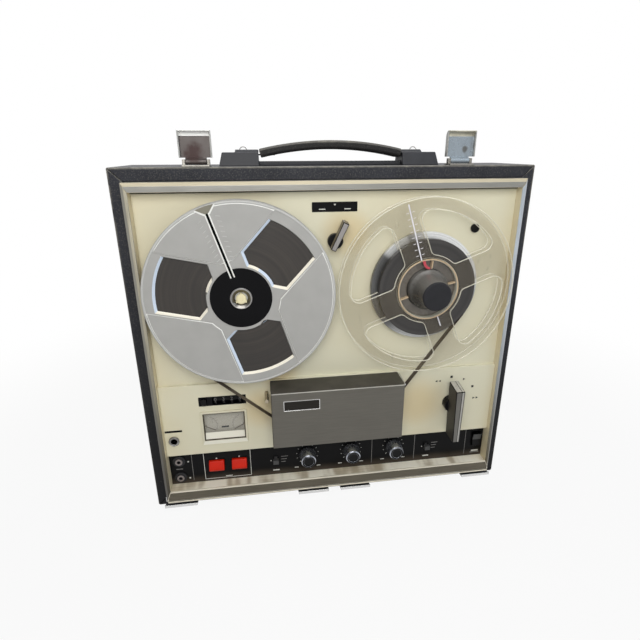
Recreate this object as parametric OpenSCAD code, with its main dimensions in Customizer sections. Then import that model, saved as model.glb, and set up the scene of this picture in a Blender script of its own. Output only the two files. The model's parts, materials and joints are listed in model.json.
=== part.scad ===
// Portable reel-to-reel tape recorder, standing upright with its front facing -Y.
// Inside the modules X runs across the case, Z rises from the case bottom, and f is the distance
// in front of the case rim, so a point with a negative f lies inside the case.

/* [Reels] */
// Outer radius of a seven-inch reel
reel_r = 88.9; // [80:0.1:92]
// Gap between the two reels
reel_gap = 3.2; // [1.5:0.1:12]
// Gap between a reel and the trim frame beside it
reel_side_gap = 0.8; // [0.6:0.1:12]
// Gap between the reels and the trim frame above them
reel_above = 6.3; // [3:0.1:20]
// Gap between the step in the deck and the reels above it
reel_below = 5.6; // [2:0.1:15]
// Thickness of a reel flange
flange_t = 1.8; // [1.2:0.1:3]
// Clear width between the flanges of a reel
tape_gap = 7.6; // [7:0.1:10]
// Height of the raised pads on the supply reel
pad_h = 0.9; // [0.4:0.1:1.5]
// Hub radius of the supply reel
supply_hub_r = 29; // [24:0.5:32]
// Hub radius of the take-up reel
take_up_hub_r = 31; // [26:0.5:34]
// Half width of a window in the supply reel
window_half_w = 25.4; // [18:0.1:27]
// Width of the rim outside the windows of the supply reel
supply_rim_w = 12.2; // [8:0.1:16]
// Half width of a spoke of the take-up reel
spoke_half_w = 14.4; // [9:0.1:18]
// Width of the rim outside the windows of the take-up reel
take_up_rim_w = 12; // [8:0.1:16]
// Width of the threading slots
thread_slot_w = 2; // [1.5:0.1:3]

/* [Tape] */
// Width of the tape
tape_w = 6.3; // [6:0.05:6.6]
// Thickness that stands for the tape between the reels
tape_t = 0.3; // [0.2:0.05:0.5]
// Bare flange outside the tape on the full supply reel
supply_bare_w = 4.9; // [3:0.1:30]
// Radius of the tape wound on the take-up reel
take_up_pack_r = 49; // [40:0.5:75]
// Height of the tape run above the lower edge of the deck
tape_rise = 32.2; // [29:0.1:35]
// Distance of the left tape guide from the middle
guide_left_x = 52; // [44:0.1:56]
// Distance of the right tape guide from the middle
guide_right_x = 46; // [42:0.1:52]
// Radius of the tape guides
guide_r = 3; // [2:0.1:3.4]

/* [Reel tables] */
// Radius of a reel table
table_r = 55; // [45:0.5:65]
// Thickness of a reel table
table_t = 4.4; // [3:0.1:6]
// Gap between the deck and a reel table
table_gap = 2.2; // [1:0.1:5]
// Radius of a spindle
spindle_r = 4; // [3.5:0.05:4.5]
// How far a spindle stands out of its reel
spindle_tip = 4.5; // [2:0.1:8]
// Radius of the rubber reel cap at its front
cap_r = 14.2; // [12:0.1:20]
// Length of the reel cap
cap_len = 25; // [12:0.5:26]

/* [Case] */
// Thickness of the case boards
board_t = 12; // [9:0.5:15]
// Depth of the case boards, front to back
case_d = 86; // [80:0.5:110]
// Gap at each mitred corner
mitre_gap = 0.2; // [0.1:0.05:0.5]
// Height of the bottom feet
foot_h = 5; // [3:0.5:10]
// Radius of the rubber feet
foot_r = 9; // [6:0.5:12]
// Distance of the feet from the side edges
foot_inset = 30; // [20:1:60]
// Distance of the feet from the front and back edges
foot_edge = 14; // [12:0.5:24]

/* [Rear cover] */
// Depth of the moulded rear cover
pan_d = 40; // [34:0.5:60]
// Inset of the rear cover's box from the case edges
pan_inset = 20; // [16:0.5:30]
// Wall of the rear cover
pan_wall = 3; // [2:0.1:5]
// Thickness of the rear cover's flange
pan_flange_t = 2.5; // [1.5:0.1:4]
// Height of the rear feet
rear_foot_h = 6; // [4:0.5:10]
// Number of cooling slots in a column
vent_count = 9; // [4:1:10]
// Width of a cooling slot
vent_w = 3; // [2:0.1:4]
// Length of a cooling slot
vent_len = 70; // [40:1:90]

/* [Trim frame] */
// How far the frame stands in front of the case rim
frame_proud = 13; // [9:0.1:18]
// How far the frame reaches back into the case
frame_seat = 4; // [3:0.1:10]
// Width of the top bar
frame_top_w = 8.3; // [6:0.1:12]
// Width of the side bars
frame_side_w = 5.8; // [4.5:0.1:10]
// Width of the bottom bar
frame_bottom_w = 14.4; // [9:0.1:20]
// Size of the bevel along the outer edge
frame_bevel = 3; // [1:0.1:4]

/* [Deck] */
// Height of the upper deck in front of the case rim
deck_f = 3; // [2.6:0.1:6]
// How far the lower deck stands above the upper deck
step_f = 3.5; // [2.8:0.1:6]
// Thickness of the deck
deck_t = 2.4; // [1.5:0.1:2.6]
// Height of the lower deck
lower_h = 82.5; // [80:0.1:100]
// Height of the control strip
strip_h = 41.1; // [38:0.1:50]
// Thickness of the control strip
strip_t = 2; // [1.5:0.1:3]

/* [Head cover] */
// Width of the head cover
cover_w = 136; // [130:0.5:146]
// Height of the head cover
cover_h = 63.5; // [60:0.5:64]
// How far the head cover stands in front of the deck
cover_depth = 28; // [24:0.5:34]
// Wall of the head cover
cover_wall = 2; // [1.5:0.1:3]
// Height of the head cover above the lower edge of the deck
cover_rise = 18.5; // [16:0.1:18.8]

/* [Drive] */
// Distance of the chassis plate behind the case rim
chassis_back = 20; // [17:0.5:24]
// Thickness of the chassis plate
chassis_t = 2; // [1.5:0.1:3]
// Radius of the capstan
capstan_r = 2.5; // [2:0.05:3]
// Distance of the capstan from the middle
capstan_x = 30; // [26:0.5:34]
// Radius of the flywheel
flywheel_r = 38; // [30:0.5:42]
// Thickness of the flywheel
flywheel_t = 14; // [12:0.5:16]
// Radius of the motor
motor_r = 34; // [28:0.5:36]
// Length of the motor
motor_len = 54; // [40:0.5:56]
// Radius of the motor pulley
pulley_r = 8; // [6:0.1:12]
// Radius of the pinch roller
pinch_r = 9; // [8:0.1:10]
// Gap between the pinch roller and the tape when it is stopped
pinch_lift = 2; // [1.5:0.1:3]

/* [Levers] */
// Distance of the function lever's pivot from the right end of the deck
lever_inset = 49.7; // [46:0.1:56]
// Height of the function lever's pivot above the lower edge of the deck
lever_rise = 40; // [38:0.5:48]
// Length of the function lever above its pivot
lever_up = 26; // [20:0.5:32]
// Length of the function lever below its pivot
lever_down = 36; // [26:0.5:38]
// How far the function lever stands in front of the deck
lever_depth = 26.5; // [20:0.5:32]
// Width of the function lever at its top
lever_w = 10; // [7:0.1:13]
// Height of the speed lever's pivot above the middle of the reels
speed_rise = 48; // [44:0.5:60]
// Angle of the speed lever at rest, clockwise from upright
speed_tilt = 26; // [0:1:30]

/* [Controls] */
// Radius of a knob
knob_r = 9.8; // [9:0.1:11]
// Radius of a knob at its front
knob_front_r = 8; // [7:0.1:9]
// Length of a knob
knob_len = 14.5; // [9:0.5:20]
// Distance between the knobs
knob_pitch = 50; // [40:0.5:56]
// Place of the middle knob beside the middle of the case
knob_mid_x = 20; // [14:0.5:26]
// Height of the knobs above the lower edge of the control strip
knob_rise = 24.1; // [20:0.1:26]
// Width of a record button
button_w = 16.3; // [12:0.1:18]
// Height of a record button
button_h = 11.4; // [10:0.1:17]
// Distance between the record buttons
button_pitch = 24.5; // [21:0.1:28]
// Distance of the left record button from the left end of the strip
button_inset = 49.8; // [40:0.1:52]
// Travel of a record button
button_travel = 4; // [2:0.1:5]
// Radius of the headphone socket
phone_bore_r = 3.2; // [3.18:0.01:3.4]
// Radius of a microphone socket
mic_bore_r = 1.8; // [1.76:0.01:2]
// Distance between the microphone sockets
mic_pitch = 21; // [16:0.5:22]

/* [Meter and counter] */
// Width of the meter
meter_w = 47.5; // [42:0.1:50]
// Height of the meter
meter_h = 39.4; // [35:0.1:40]
// Distance of the meter's centre from the left end of the deck
meter_inset = 62.5; // [58:0.1:64]
// Height of the meter's centre above the lower edge of the deck
meter_rise = 31; // [28:0.1:32]
// Width of the counter's window
counter_w = 48; // [44:0.1:52]
// Height of the counter's window
counter_h = 10.4; // [9:0.1:13]
// Height of the counter's centre above the lower edge of the deck
counter_rise = 62.7; // [62:0.1:66]
// Radius of the counter's drums
drum_r = 7; // [5.5:0.1:7.2]

/* [Handle and latches] */
// Distance of the handle behind the case rim
handle_back = 25; // [20:0.5:50]
// Length of the handle between its end blocks
strap_len = 133; // [110:1:180]
// Width of the strap, front to back
strap_w = 22; // [16:0.5:26]
// Thickness of the strap
strap_t = 8; // [6:0.1:10]
// Rise of the strap's middle above its ends
strap_rise = 7.5; // [4:0.1:14]
// Height of the strap's ends above the case
strap_h = 11; // [10:0.1:16]
// Length of an end block
block_len = 36; // [28:0.5:46]
// Width of an end block, front to back
block_w = 28; // [26:0.5:34]
// Place of each latch beside the middle of the case
latch_x = 123; // [118:0.5:150]
// Width of a latch
latch_w = 28.5; // [26:0.5:34]
// Height of a latch when it stands open
latch_h = 31; // [22:0.5:34]
// Length of a hinge plate
hinge_len = 35; // [25:0.5:40]

/* [Fits] */
// Radial clearance of a shaft that turns in its bearing
run_fit = 0.05; // [0.02:0.01:0.1]
// Clearance around pieces that slide or pass close by
slide_fit = 0.3; // [0.2:0.05:0.4]

/* [Hidden] */
$fn = 72;

// Overall layout, from the inside out
reel_x = reel_r + reel_gap / 2;
deck_half = reel_x + reel_r + reel_side_gap;
mouth_half = deck_half + frame_side_w;
case_half = mouth_half + board_t;
strip_z = board_t + frame_bottom_w;
deck_z = strip_z + strip_h;
step_z = deck_z + lower_h;
reel_z = step_z + reel_below + reel_r;
deck_top = reel_z + reel_r + reel_above;
mouth_top = deck_top + frame_top_w;
case_h = mouth_top + board_t;

// Levels in front of the rim
panel_f = deck_f + step_f;
panel_back_f = panel_f - deck_t;
seat_f = deck_f + table_gap + table_t;
reel_t = 2 * flange_t + tape_gap;
reel_f = seat_f + reel_t;
tape_f = seat_f + flange_t + tape_gap / 2;
spindle_f = reel_f + spindle_tip;
cap_f = reel_f + cap_len;
cover_f = panel_f + cover_depth;
lever_f = panel_f + lever_depth;
chassis_f = -chassis_back;
chassis_rear_f = chassis_f - chassis_t;
pan_f = -(case_d + pan_d);

// The origin is under the middle of the whole object's box
front_reach = max(cap_f, cover_f, lever_f);
back_reach = case_d + pan_d + rear_foot_h;
rim_y = (front_reach - back_reach) / 2;

// Tape path
supply_pack_r = reel_r - supply_bare_w;
tape_z = deck_z + tape_rise;
tape_clear = 0.35;
guide_path_r = guide_r + tape_t;
guide_z = tape_z + guide_path_r;
collar_extra = 1.5;
head_lift = 0.3;

// Drive layout
capstan_z = tape_z - tape_t / 2 - tape_clear - capstan_r;
fly_front_f = chassis_rear_f - 8;
fly_rear_f = fly_front_f - flywheel_t;
belt_w = 6;
belt_t = 1.5;
belt_f = (fly_front_f + fly_rear_f) / 2;
motor_x = -70;
motor_z = capstan_z + 27;
motor_front_f = fly_rear_f - 2;
motor_rear_f = motor_front_f - motor_len;
motor_shaft_r = 3;
bush_wall = 4;
thrust_gap = 0.4;
boss_r = 10;
boss_hole_r = boss_r + 2.5;

// Control places
lever_x = deck_half - lever_inset;
lever_z = deck_z + lever_rise;
lever_shaft_r = 3;
speed_z = reel_z + speed_rise;
speed_shaft_r = 2.5;
meter_x = meter_inset - deck_half;
meter_z = deck_z + meter_rise;
counter_x = meter_x;
counter_z = deck_z + counter_rise;
phone_x = 9.6 - deck_half;
phone_z = deck_z + 19;
mic_x = 10.2 - deck_half;
mic_mid_z = strip_z + 19.1;
knob_z = strip_z + knob_rise;
knob_x = [knob_mid_x - knob_pitch, knob_mid_x, knob_mid_x + knob_pitch];
shaft_r = 3;
button_z = strip_z + 20.9;
button_x = [button_inset - deck_half, button_inset + button_pitch - deck_half];
slide_z = strip_z + 19;
slide_x = [-65.7, deck_half - 69.9];
slide_travel = 3;
power_x = deck_half - 8.6;
power_z = strip_z + 23.6;
power_swing = 8;

// Handle places
strap_half = strap_len / 2;
strap_arc_r = (strap_half * strap_half + strap_rise * strap_rise) / (2 * strap_rise);
strap_arc_a = asin(strap_half / strap_arc_r);
block_gap = 1.3;
block_h = strap_h + 1;
pin_r = 1.8;
latch_axis_back = 8;
latch_axis_h = 4.2;
latch_pin_r = 1.5;

// Point at a distance and an angle
function polar(r, a) = [r * cos(a), r * sin(a)];

// Tangent of two wheels that both turn with their centres on the left of the tape
function left_normal(c1, r1, c2, r2) =
    atan2(c2[1] - c1[1], c2[0] - c1[0]) + acos((r2 - r1) / norm(c2 - c1));

// Whole part set on its feet over the origin
module placed() translate([0, rim_y, foot_h]) children();

// Flat shape drawn in X and Z, made solid from f0 forward to f1
module forward(f0, f1) translate([0, -f0, 0]) rotate([90, 0, 0]) linear_extrude(f1 - f0) children();

// Flat shape drawn in Y and Z, made solid from x0 to x1
module along_x(x0, x1) translate([x0, 0, 0]) rotate([90, 0, 90]) linear_extrude(x1 - x0) children();

// Round bar along the front-to-back direction
module disc(r, f0, f1) translate([0, -f0, 0]) rotate([90, 0, 0]) cylinder(h = f1 - f0, r = r);

// Cone along the front-to-back direction
module cone(r0, r1, f0, f1)
    translate([0, -f0, 0]) rotate([90, 0, 0]) cylinder(h = f1 - f0, r1 = r0, r2 = r1);

// Round bar across the case
module cross_bar(r, x0, x1) translate([x0, 0, 0]) rotate([0, 90, 0]) cylinder(h = x1 - x0, r = r);

// Block between two corners
module block(x0, x1, f0, f1, z0, z1) translate([x0, -f1, z0]) cube([x1 - x0, f1 - f0, z1 - z0]);

// Place in the front view
module at(x, z) translate([x, 0, z]) children();

// One copy at each side
module both_sides() {
    children();
    mirror([1, 0, 0]) children();
}

// Case

screw_r = 1.5;
screw_head_r = 3.2;
screw_len = 12;
screw_x = case_half - board_t / 2;
screw_z = [40, case_h / 2, case_h - 40];

module at_rear_screws() both_sides() for (z = screw_z) at(screw_x, z) children();

module board_pair() {
    forward(-case_d, 0)
        polygon([
            [-case_half + mitre_gap, case_h],
            [case_half - mitre_gap, case_h],
            [mouth_half - mitre_gap, mouth_top],
            [-mouth_half + mitre_gap, mouth_top]
        ]);
    forward(-case_d, 0)
        polygon([
            [-case_half + mitre_gap, 0],
            [case_half - mitre_gap, 0],
            [mouth_half - mitre_gap, board_t],
            [-mouth_half + mitre_gap, board_t]
        ]);
}

module case_boards() color("#2d2d31") placed() {
    board_pair();
    both_sides() difference() {
        forward(-case_d, 0)
            polygon([[case_half, 0], [case_half, case_h], [mouth_half, mouth_top], [mouth_half, board_t]]);
        for (z = screw_z)
            at(screw_x, z) disc(screw_r + run_fit, -case_d - 1, screw_len - case_d);
    }
}

foot_places = [foot_edge, case_d - foot_edge];

module bottom_feet() color("#1c1c1c") placed() both_sides() for (back = foot_places)
    translate([case_half - foot_inset, back, -foot_h]) {
        cylinder(h = foot_h, r = foot_r);
    }

hinge_leaf_t = 1.2;
hinge_reach = 10.5;
hinge_leaf_low = 2;
hinge_leaf_top = board_t - 1;
hinge_shelf_z = 3.5;
hinge_lip_h = 3.5;
hinge_corner_gap = 9;
hinge_mid_gap = 6.8;

module hinge_section() polygon([
    [0, hinge_leaf_low],
    [0, hinge_leaf_top],
    [-hinge_leaf_t, hinge_leaf_top],
    [-hinge_leaf_t, hinge_shelf_z + hinge_leaf_t],
    [hinge_leaf_t - hinge_reach, hinge_shelf_z + hinge_leaf_t],
    [hinge_leaf_t - hinge_reach, hinge_shelf_z + hinge_lip_h],
    [-hinge_reach, hinge_shelf_z + hinge_lip_h],
    [-hinge_reach, hinge_shelf_z],
    [-hinge_leaf_t, hinge_shelf_z],
    [-hinge_leaf_t, hinge_leaf_low]
]);

module hinge_plates() color("#b9bcc0") placed() both_sides() {
    along_x(hinge_mid_gap, hinge_mid_gap + hinge_len) hinge_section();
    along_x(case_half - hinge_corner_gap - hinge_len, case_half - hinge_corner_gap) hinge_section();
}

// Rear cover with its screws, feet and sockets

pan_half = case_half - pan_inset;
pan_low = pan_inset;
pan_top = case_h - pan_inset;
flange_edge = 1.5;
vent_pitch = 14;
vent_mid_z = case_h * 0.56;
vent_x = 62;
socket_z = pan_low + 34;
socket_pitch = 22;
socket_count = 4;
socket_x0 = -130;
socket_hole_r = 5;
socket_out = rear_foot_h - 1.5;
inlet_x = 120;
inlet_w = 26;
inlet_h = 18;

module rear_cover() color("#232326") placed() difference() {
    union() {
        block(flange_edge - case_half, case_half - flange_edge, -case_d - pan_flange_t, -case_d,
            flange_edge, case_h - flange_edge);
        block(-pan_half, pan_half, pan_f, -case_d, pan_low, pan_top);
    }
    block(pan_wall - pan_half, pan_half - pan_wall, pan_f + pan_wall, 1 - case_d,
        pan_low + pan_wall, pan_top - pan_wall);
    at_rear_screws() disc(screw_r + run_fit, -case_d - pan_flange_t - 1, 1 - case_d);
    both_sides() for (i = [0 : vent_count - 1])
        block(vent_x - vent_len / 2, vent_x + vent_len / 2, pan_f - 1, pan_f + pan_wall + 1,
            vent_mid_z + (i - (vent_count - 1) / 2) * vent_pitch - vent_w / 2,
            vent_mid_z + (i - (vent_count - 1) / 2) * vent_pitch + vent_w / 2);
    for (i = [0 : socket_count - 1])
        at(socket_x0 + i * socket_pitch, socket_z) disc(socket_hole_r, pan_f - 1, pan_f + pan_wall + 1);
    block(inlet_x - inlet_w / 2, inlet_x + inlet_w / 2, pan_f - 1, pan_f + pan_wall + 1,
        socket_z - inlet_h / 2, socket_z + inlet_h / 2);
}

module rear_screws() color("#9a9ca0") placed() at_rear_screws() {
    disc(screw_r, -case_d - pan_flange_t, screw_len - case_d - 1);
    disc(screw_head_r, -case_d - pan_flange_t - 1.6, -case_d - pan_flange_t);
}

module rear_feet() color("#1c1c1c") placed() both_sides()
    for (z = [pan_low + foot_inset / 2, pan_top - foot_inset / 2])
        at(pan_half - foot_inset / 2, z) disc(foot_r, pan_f - rear_foot_h, pan_f);

module line_jacks() color("#a8894a") placed() for (i = [0 : socket_count - 1])
    at(socket_x0 + i * socket_pitch, socket_z) difference() {
        union() {
            disc(socket_hole_r - run_fit, pan_f, pan_f + pan_wall + 6);
            disc(socket_hole_r + 2, pan_f - 1.2, pan_f);
            disc(socket_hole_r - 0.8, pan_f - socket_out, pan_f - 1.2);
        }
        disc(1.6, pan_f - socket_out - 1, pan_f);
    }

inlet_depth = 14;
inlet_wall = 3;
inlet_pin_r = 1.2;
inlet_pin_gap = 4.8;

module mains_inlet() color("#161616") placed() at(inlet_x, socket_z) difference() {
    union() {
        block(-inlet_w / 2, inlet_w / 2, pan_f, pan_f + inlet_depth + inlet_wall, -inlet_h / 2, inlet_h / 2);
        block(-inlet_w / 2 - 3, inlet_w / 2 + 3, pan_f - 1.5, pan_f, -inlet_h / 2 - 3, inlet_h / 2 + 3);
    }
    difference() {
        block(inlet_wall - inlet_w / 2, inlet_w / 2 - inlet_wall, pan_f - 2, pan_f + inlet_depth,
            inlet_wall - inlet_h / 2, inlet_h / 2 - inlet_wall);
        both_sides() at(inlet_pin_gap, 0) disc(inlet_pin_r, pan_f + 2, pan_f + inlet_depth + 1);
    }
}

// Trim frame

module frame_bevels() difference() {
    block(-mouth_half, mouth_half, -frame_seat, frame_proud, board_t, mouth_top);
    both_sides() translate([mouth_half, -frame_proud, 0]) rotate([0, 0, 45])
        translate([-frame_bevel, -frame_bevel, 0] / sqrt(2))
            cube([frame_bevel * sqrt(2), frame_bevel * sqrt(2), case_h]);
    for (z = [board_t, mouth_top])
        translate([-mouth_half, -frame_proud, z]) rotate([45, 0, 0])
            translate([0, -frame_bevel, -frame_bevel] / sqrt(2))
                cube([2 * mouth_half, frame_bevel * sqrt(2), frame_bevel * sqrt(2)]);
}

module trim_frame() color("#c9c6bb") placed() {
    intersection() {
        union() {
            forward(-frame_seat, frame_proud) polygon([
                [-mouth_half + mitre_gap, mouth_top],
                [mouth_half - mitre_gap, mouth_top],
                [deck_half - mitre_gap, deck_top],
                [-deck_half + mitre_gap, deck_top]
            ]);
            forward(-frame_seat, frame_proud) polygon([
                [-mouth_half + mitre_gap, board_t],
                [mouth_half - mitre_gap, board_t],
                [deck_half - mitre_gap, strip_z],
                [-deck_half + mitre_gap, strip_z]
            ]);
            both_sides() forward(-frame_seat, frame_proud) polygon([
                [mouth_half, board_t],
                [mouth_half, mouth_top],
                [deck_half, deck_top],
                [deck_half, strip_z]
            ]);
        }
        frame_bevels();
    }
}

// Deck and control strip

module deck_panel() color("#d8cfae") placed() difference() {
    union() {
        block(-deck_half, deck_half, deck_f - deck_t, deck_f, step_z - deck_t, deck_top);
        block(-deck_half, deck_half, panel_back_f, panel_f, deck_z, step_z);
        block(-deck_half, deck_half, deck_f - deck_t, panel_f, step_z - deck_t, step_z);
        block(-deck_half, deck_half, 0, panel_f, deck_z, deck_z + deck_t);
    }
    both_sides() at(reel_x, reel_z) disc(boss_hole_r, -1, panel_f);
    at(0, speed_z) disc(speed_shaft_r + run_fit, -1, panel_f);
    at(lever_x, lever_z) disc(lever_shaft_r + run_fit, -1, panel_f + 1);
    at(capstan_x, capstan_z) disc(capstan_r + bush_wall + 1, 0, panel_f + 1);
    at(phone_x, phone_z) disc(phone_thread_r + run_fit, 0, panel_f + 1);
    block(meter_x - meter_w / 2, meter_x + meter_w / 2, 0, panel_f + 1,
        meter_z - meter_h / 2, meter_z + meter_h / 2);
    block(counter_x - counter_w / 2, counter_x + counter_w / 2, 0, panel_f + 1,
        counter_z - counter_h / 2, counter_z + counter_h / 2);
}

mic_thread_r = mic_bore_r + 2.4;
knob_stand = 1.6;
pot_bush_r = shaft_r + 1.6;
slide_neck = 3;
slide_slot_h = slide_neck + 2 * slide_travel + 2 * slide_fit;
power_half_w = 5;
power_half_h = 7.8;
power_cut_h = 9.4;
power_pin_r = 1.2;
power_axis_f = -4;
power_ear_t = 2;

module control_strip() color("#17171a") placed() {
    difference() {
        block(-deck_half, deck_half, -strip_t, 0, strip_z, deck_z + deck_t);
        for (side = [-1, 1])
            at(mic_x, mic_mid_z + side * mic_pitch / 2) disc(mic_thread_r + run_fit, -strip_t - 1, 1);
        for (x = knob_x)
            at(x, knob_z) disc(pot_bush_r + run_fit, -strip_t - 1, 1);
        for (x = button_x)
            block(x - button_w / 2 - slide_fit, x + button_w / 2 + slide_fit, -strip_t - 1, 1,
                button_z - button_h / 2 - slide_fit, button_z + button_h / 2 + slide_fit);
        for (x = slide_x)
            block(x - slide_neck / 2 - slide_fit, x + slide_neck / 2 + slide_fit, -strip_t - 1, 1,
                slide_z - slide_slot_h / 2, slide_z + slide_slot_h / 2);
        block(power_x - power_half_w - slide_fit, power_x + power_half_w + slide_fit, -strip_t - 1, 1,
            power_z - power_cut_h, power_z + power_cut_h);
    }
    at(power_x, power_z) both_sides() difference() {
        block(power_half_w + slide_fit, power_half_w + slide_fit + power_ear_t, -strip_t - 5, -strip_t, -4, 4);
        translate([0, -power_axis_f, 0]) cross_bar(power_pin_r + run_fit, power_half_w, power_half_w + 4);
    }
}

// Chassis and drive

chassis_z0 = deck_z + 3;
chassis_z1 = deck_top - 6;
chassis_half = mouth_half - 12;
tab_h = 24;
pillar_r = 4;
pillar_x = deck_half - 8;
pillar_z = [step_z + 8, deck_top - 12];
spindle_bush_r = spindle_r + bush_wall;
capstan_bush_r = capstan_r + bush_wall;

module chassis_plate() color("#8f949a") placed() {
    difference() {
        union() {
            block(-chassis_half, chassis_half, chassis_rear_f, chassis_f, chassis_z0, chassis_z1);
            both_sides() for (z = [chassis_z0, chassis_z1 - tab_h])
                block(chassis_half - 1, mouth_half, chassis_rear_f, chassis_f, z, z + tab_h);
        }
        both_sides() at(reel_x, reel_z) disc(spindle_bush_r + run_fit, chassis_rear_f - 1, chassis_f + 1);
        at(capstan_x, capstan_z) disc(capstan_bush_r + run_fit, chassis_rear_f - 1, chassis_f + 1);
        at(motor_x, motor_z) disc(pulley_r + 8, chassis_rear_f - 1, chassis_f + 1);
    }
    both_sides() for (z = pillar_z)
        at(pillar_x, z) disc(pillar_r, chassis_f, deck_f - deck_t);
}

bush_flange_t = 3;
bush_back = 14;

module bush(shaft, front_f, rear_f) difference() {
    union() {
        disc(shaft + bush_wall, rear_f, front_f);
        disc(shaft + bush_wall + 5, chassis_f, chassis_f + bush_flange_t);
    }
    disc(shaft + run_fit, rear_f - 1, front_f + 1);
}

module bearings() color("#b08d57") placed() {
    both_sides() at(reel_x, reel_z) bush(spindle_r, chassis_f + bush_flange_t, chassis_rear_f - bush_back);
    at(capstan_x, capstan_z) bush(capstan_r, 2, fly_front_f + thrust_gap);
}

module flywheel() color("#8a8d92") placed() at(capstan_x, capstan_z) {
    disc(capstan_r, fly_rear_f - 4, tape_f + tape_w / 2 + 3);
    difference() {
        disc(flywheel_r, fly_rear_f, fly_front_f);
        difference() {
            disc(flywheel_r - 8, fly_rear_f - 1, fly_rear_f + 4);
            disc(10, fly_rear_f - 1, fly_rear_f + 4);
        }
    }
}

motor_post_r = 3.5;
motor_post_place = motor_r - 6;

module motor_body() color("#6f7277") placed() at(motor_x, motor_z) difference() {
    union() {
        disc(motor_r, motor_rear_f, motor_front_f);
        for (a = [90, 180, 270])
            at(motor_post_place * cos(a), motor_post_place * sin(a))
                disc(motor_post_r, motor_front_f, chassis_rear_f);
    }
    disc(motor_shaft_r + run_fit, motor_rear_f - 1, motor_front_f + 1);
}

fan_blades = 6;
fan_t = 8;
fan_r = motor_r - 5;

module motor_rotor() color("#a9a294") placed() at(motor_x, motor_z) {
    disc(motor_shaft_r, motor_rear_f - fan_t - 1, chassis_rear_f - 1);
    disc(pulley_r, belt_f - belt_w, belt_f + belt_w);
    disc(9, motor_rear_f - fan_t - 0.5, motor_rear_f - 0.5);
    for (i = [0 : fan_blades - 1])
        rotate([0, i * 360 / fan_blades, 0])
            block(7, fan_r, motor_rear_f - fan_t - 0.5, motor_rear_f - 0.5, -0.8, 0.8);
}

module belt_outline(extra) hull() {
    translate([motor_x, motor_z]) circle(pulley_r + extra, $fn = 32);
    translate([capstan_x, capstan_z]) circle(flywheel_r + extra, $fn = 64);
}

module drive_belt() color("#26211f") placed() forward(belt_f - belt_w / 2, belt_f + belt_w / 2)
    difference() {
        belt_outline(slide_fit + belt_t);
        belt_outline(slide_fit);
    }

core_w = 54;
core_t = 36;
core_h = 48;
coil_w = 34;
coil_t = 50;
coil_h = 32;
transformer_x = mouth_half - core_w / 2 - 37;
transformer_f = -56;

module transformer_core() block(transformer_x - core_w / 2, transformer_x + core_w / 2,
    transformer_f - core_t / 2, transformer_f + core_t / 2, board_t, board_t + core_h);

module transformer() color("#4d4a45") placed() {
    transformer_core();
    difference() {
        block(transformer_x - coil_w / 2, transformer_x + coil_w / 2,
            transformer_f - coil_t / 2, transformer_f + coil_t / 2,
            board_t + (core_h - coil_h) / 2, board_t + (core_h + coil_h) / 2);
        transformer_core();
    }
}

amp_side_gap = 14;
amp_w = 158;
amp_x0 = amp_side_gap - mouth_half;
amp_x1 = amp_x0 + amp_w;
amp_f0 = -76;
amp_f1 = -32;
amp_rise = 8;
amp_t = 1.6;
amp_post_r = 3;
amp_post_in = 6;
can_r = 8;
can_h = 24;
can_in = 30;
can_pitch = 28;
can_f = -58;

module amplifier_board() color("#6b4a24") placed() {
    block(amp_x0, amp_x1, amp_f0, amp_f1, board_t + amp_rise, board_t + amp_rise + amp_t);
    for (x = [amp_x0 + amp_post_in, amp_x1 - amp_post_in])
        for (f = [amp_f0 + amp_post_in, amp_f1 - amp_post_in])
            translate([x, -f, board_t]) cylinder(h = amp_rise, r = amp_post_r);
    for (i = [0 : 3])
        translate([amp_x0 + can_in + i * can_pitch, -can_f, board_t + amp_rise + amp_t])
            cylinder(h = can_h, r = can_r);
}

// Heads, guides and tape

bracket_t = 2;
bracket_f = panel_f + bracket_t;
bracket_left = 8;
bracket_right = 12;
bracket_drop = 10.5;
bracket_rise = 36;
bracket_x0 = -guide_left_x - bracket_left;
bracket_x1 = guide_right_x + bracket_right;
bracket_z0 = tape_z - bracket_drop;
bracket_z1 = tape_z + bracket_rise;
head_f0 = bracket_f;
head_f1 = tape_f + tape_w / 2 + 2;
pinch_x = capstan_x;
pinch_z = tape_z + tape_t / 2 + pinch_lift + pinch_r;
pivot_x = pinch_x - 16;
pivot_z = pinch_z + 13;
pivot_r = 2;
pinch_pin_r = 1.5;
arm_t = 2.2;
arm_f0 = bracket_f + slide_fit;
arm_f1 = arm_f0 + arm_t;

module head_bracket() color("#9c9fa3") placed() {
    difference() {
        block(bracket_x0, bracket_x1, panel_f, bracket_f, bracket_z0, bracket_z1);
        at(capstan_x, capstan_z) disc(capstan_r + 2.5, panel_f - 1, bracket_f + 1);
    }
    at(pivot_x, pivot_z) disc(pivot_r, bracket_f, arm_f1 + 1.5);
}

module head_block(x, w) forward(head_f0, head_f1) polygon([
    [x - w / 2, tape_z + 16],
    [x - w / 2, tape_z + 5],
    [x - w / 6, tape_z + tape_t / 2 + head_lift],
    [x + w / 6, tape_z + tape_t / 2 + head_lift],
    [x + w / 2, tape_z + 5],
    [x + w / 2, tape_z + 16]
]);

module erase_head() color("#b4b6b8") placed() head_block(-26, 12);

module record_head() color("#c2c4c6") placed() head_block(-2, 16);

outer_post_x = -cover_w / 2 - 4.2;
outer_post_z = deck_z + cover_rise + 50;
outer_post_r = 2;
outer_post_over = 7;
peg_x = reel_x + 50;
peg_z = reel_z + 56.2;
peg_r = 4.3;

module guide_post(r) {
    disc(r, bracket_f, tape_f + tape_w / 2 + 3);
    disc(r + collar_extra, bracket_f, tape_f - tape_w / 2 - slide_fit);
    disc(r + collar_extra, tape_f + tape_w / 2 + slide_fit, tape_f + tape_w / 2 + 2.5);
}

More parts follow.
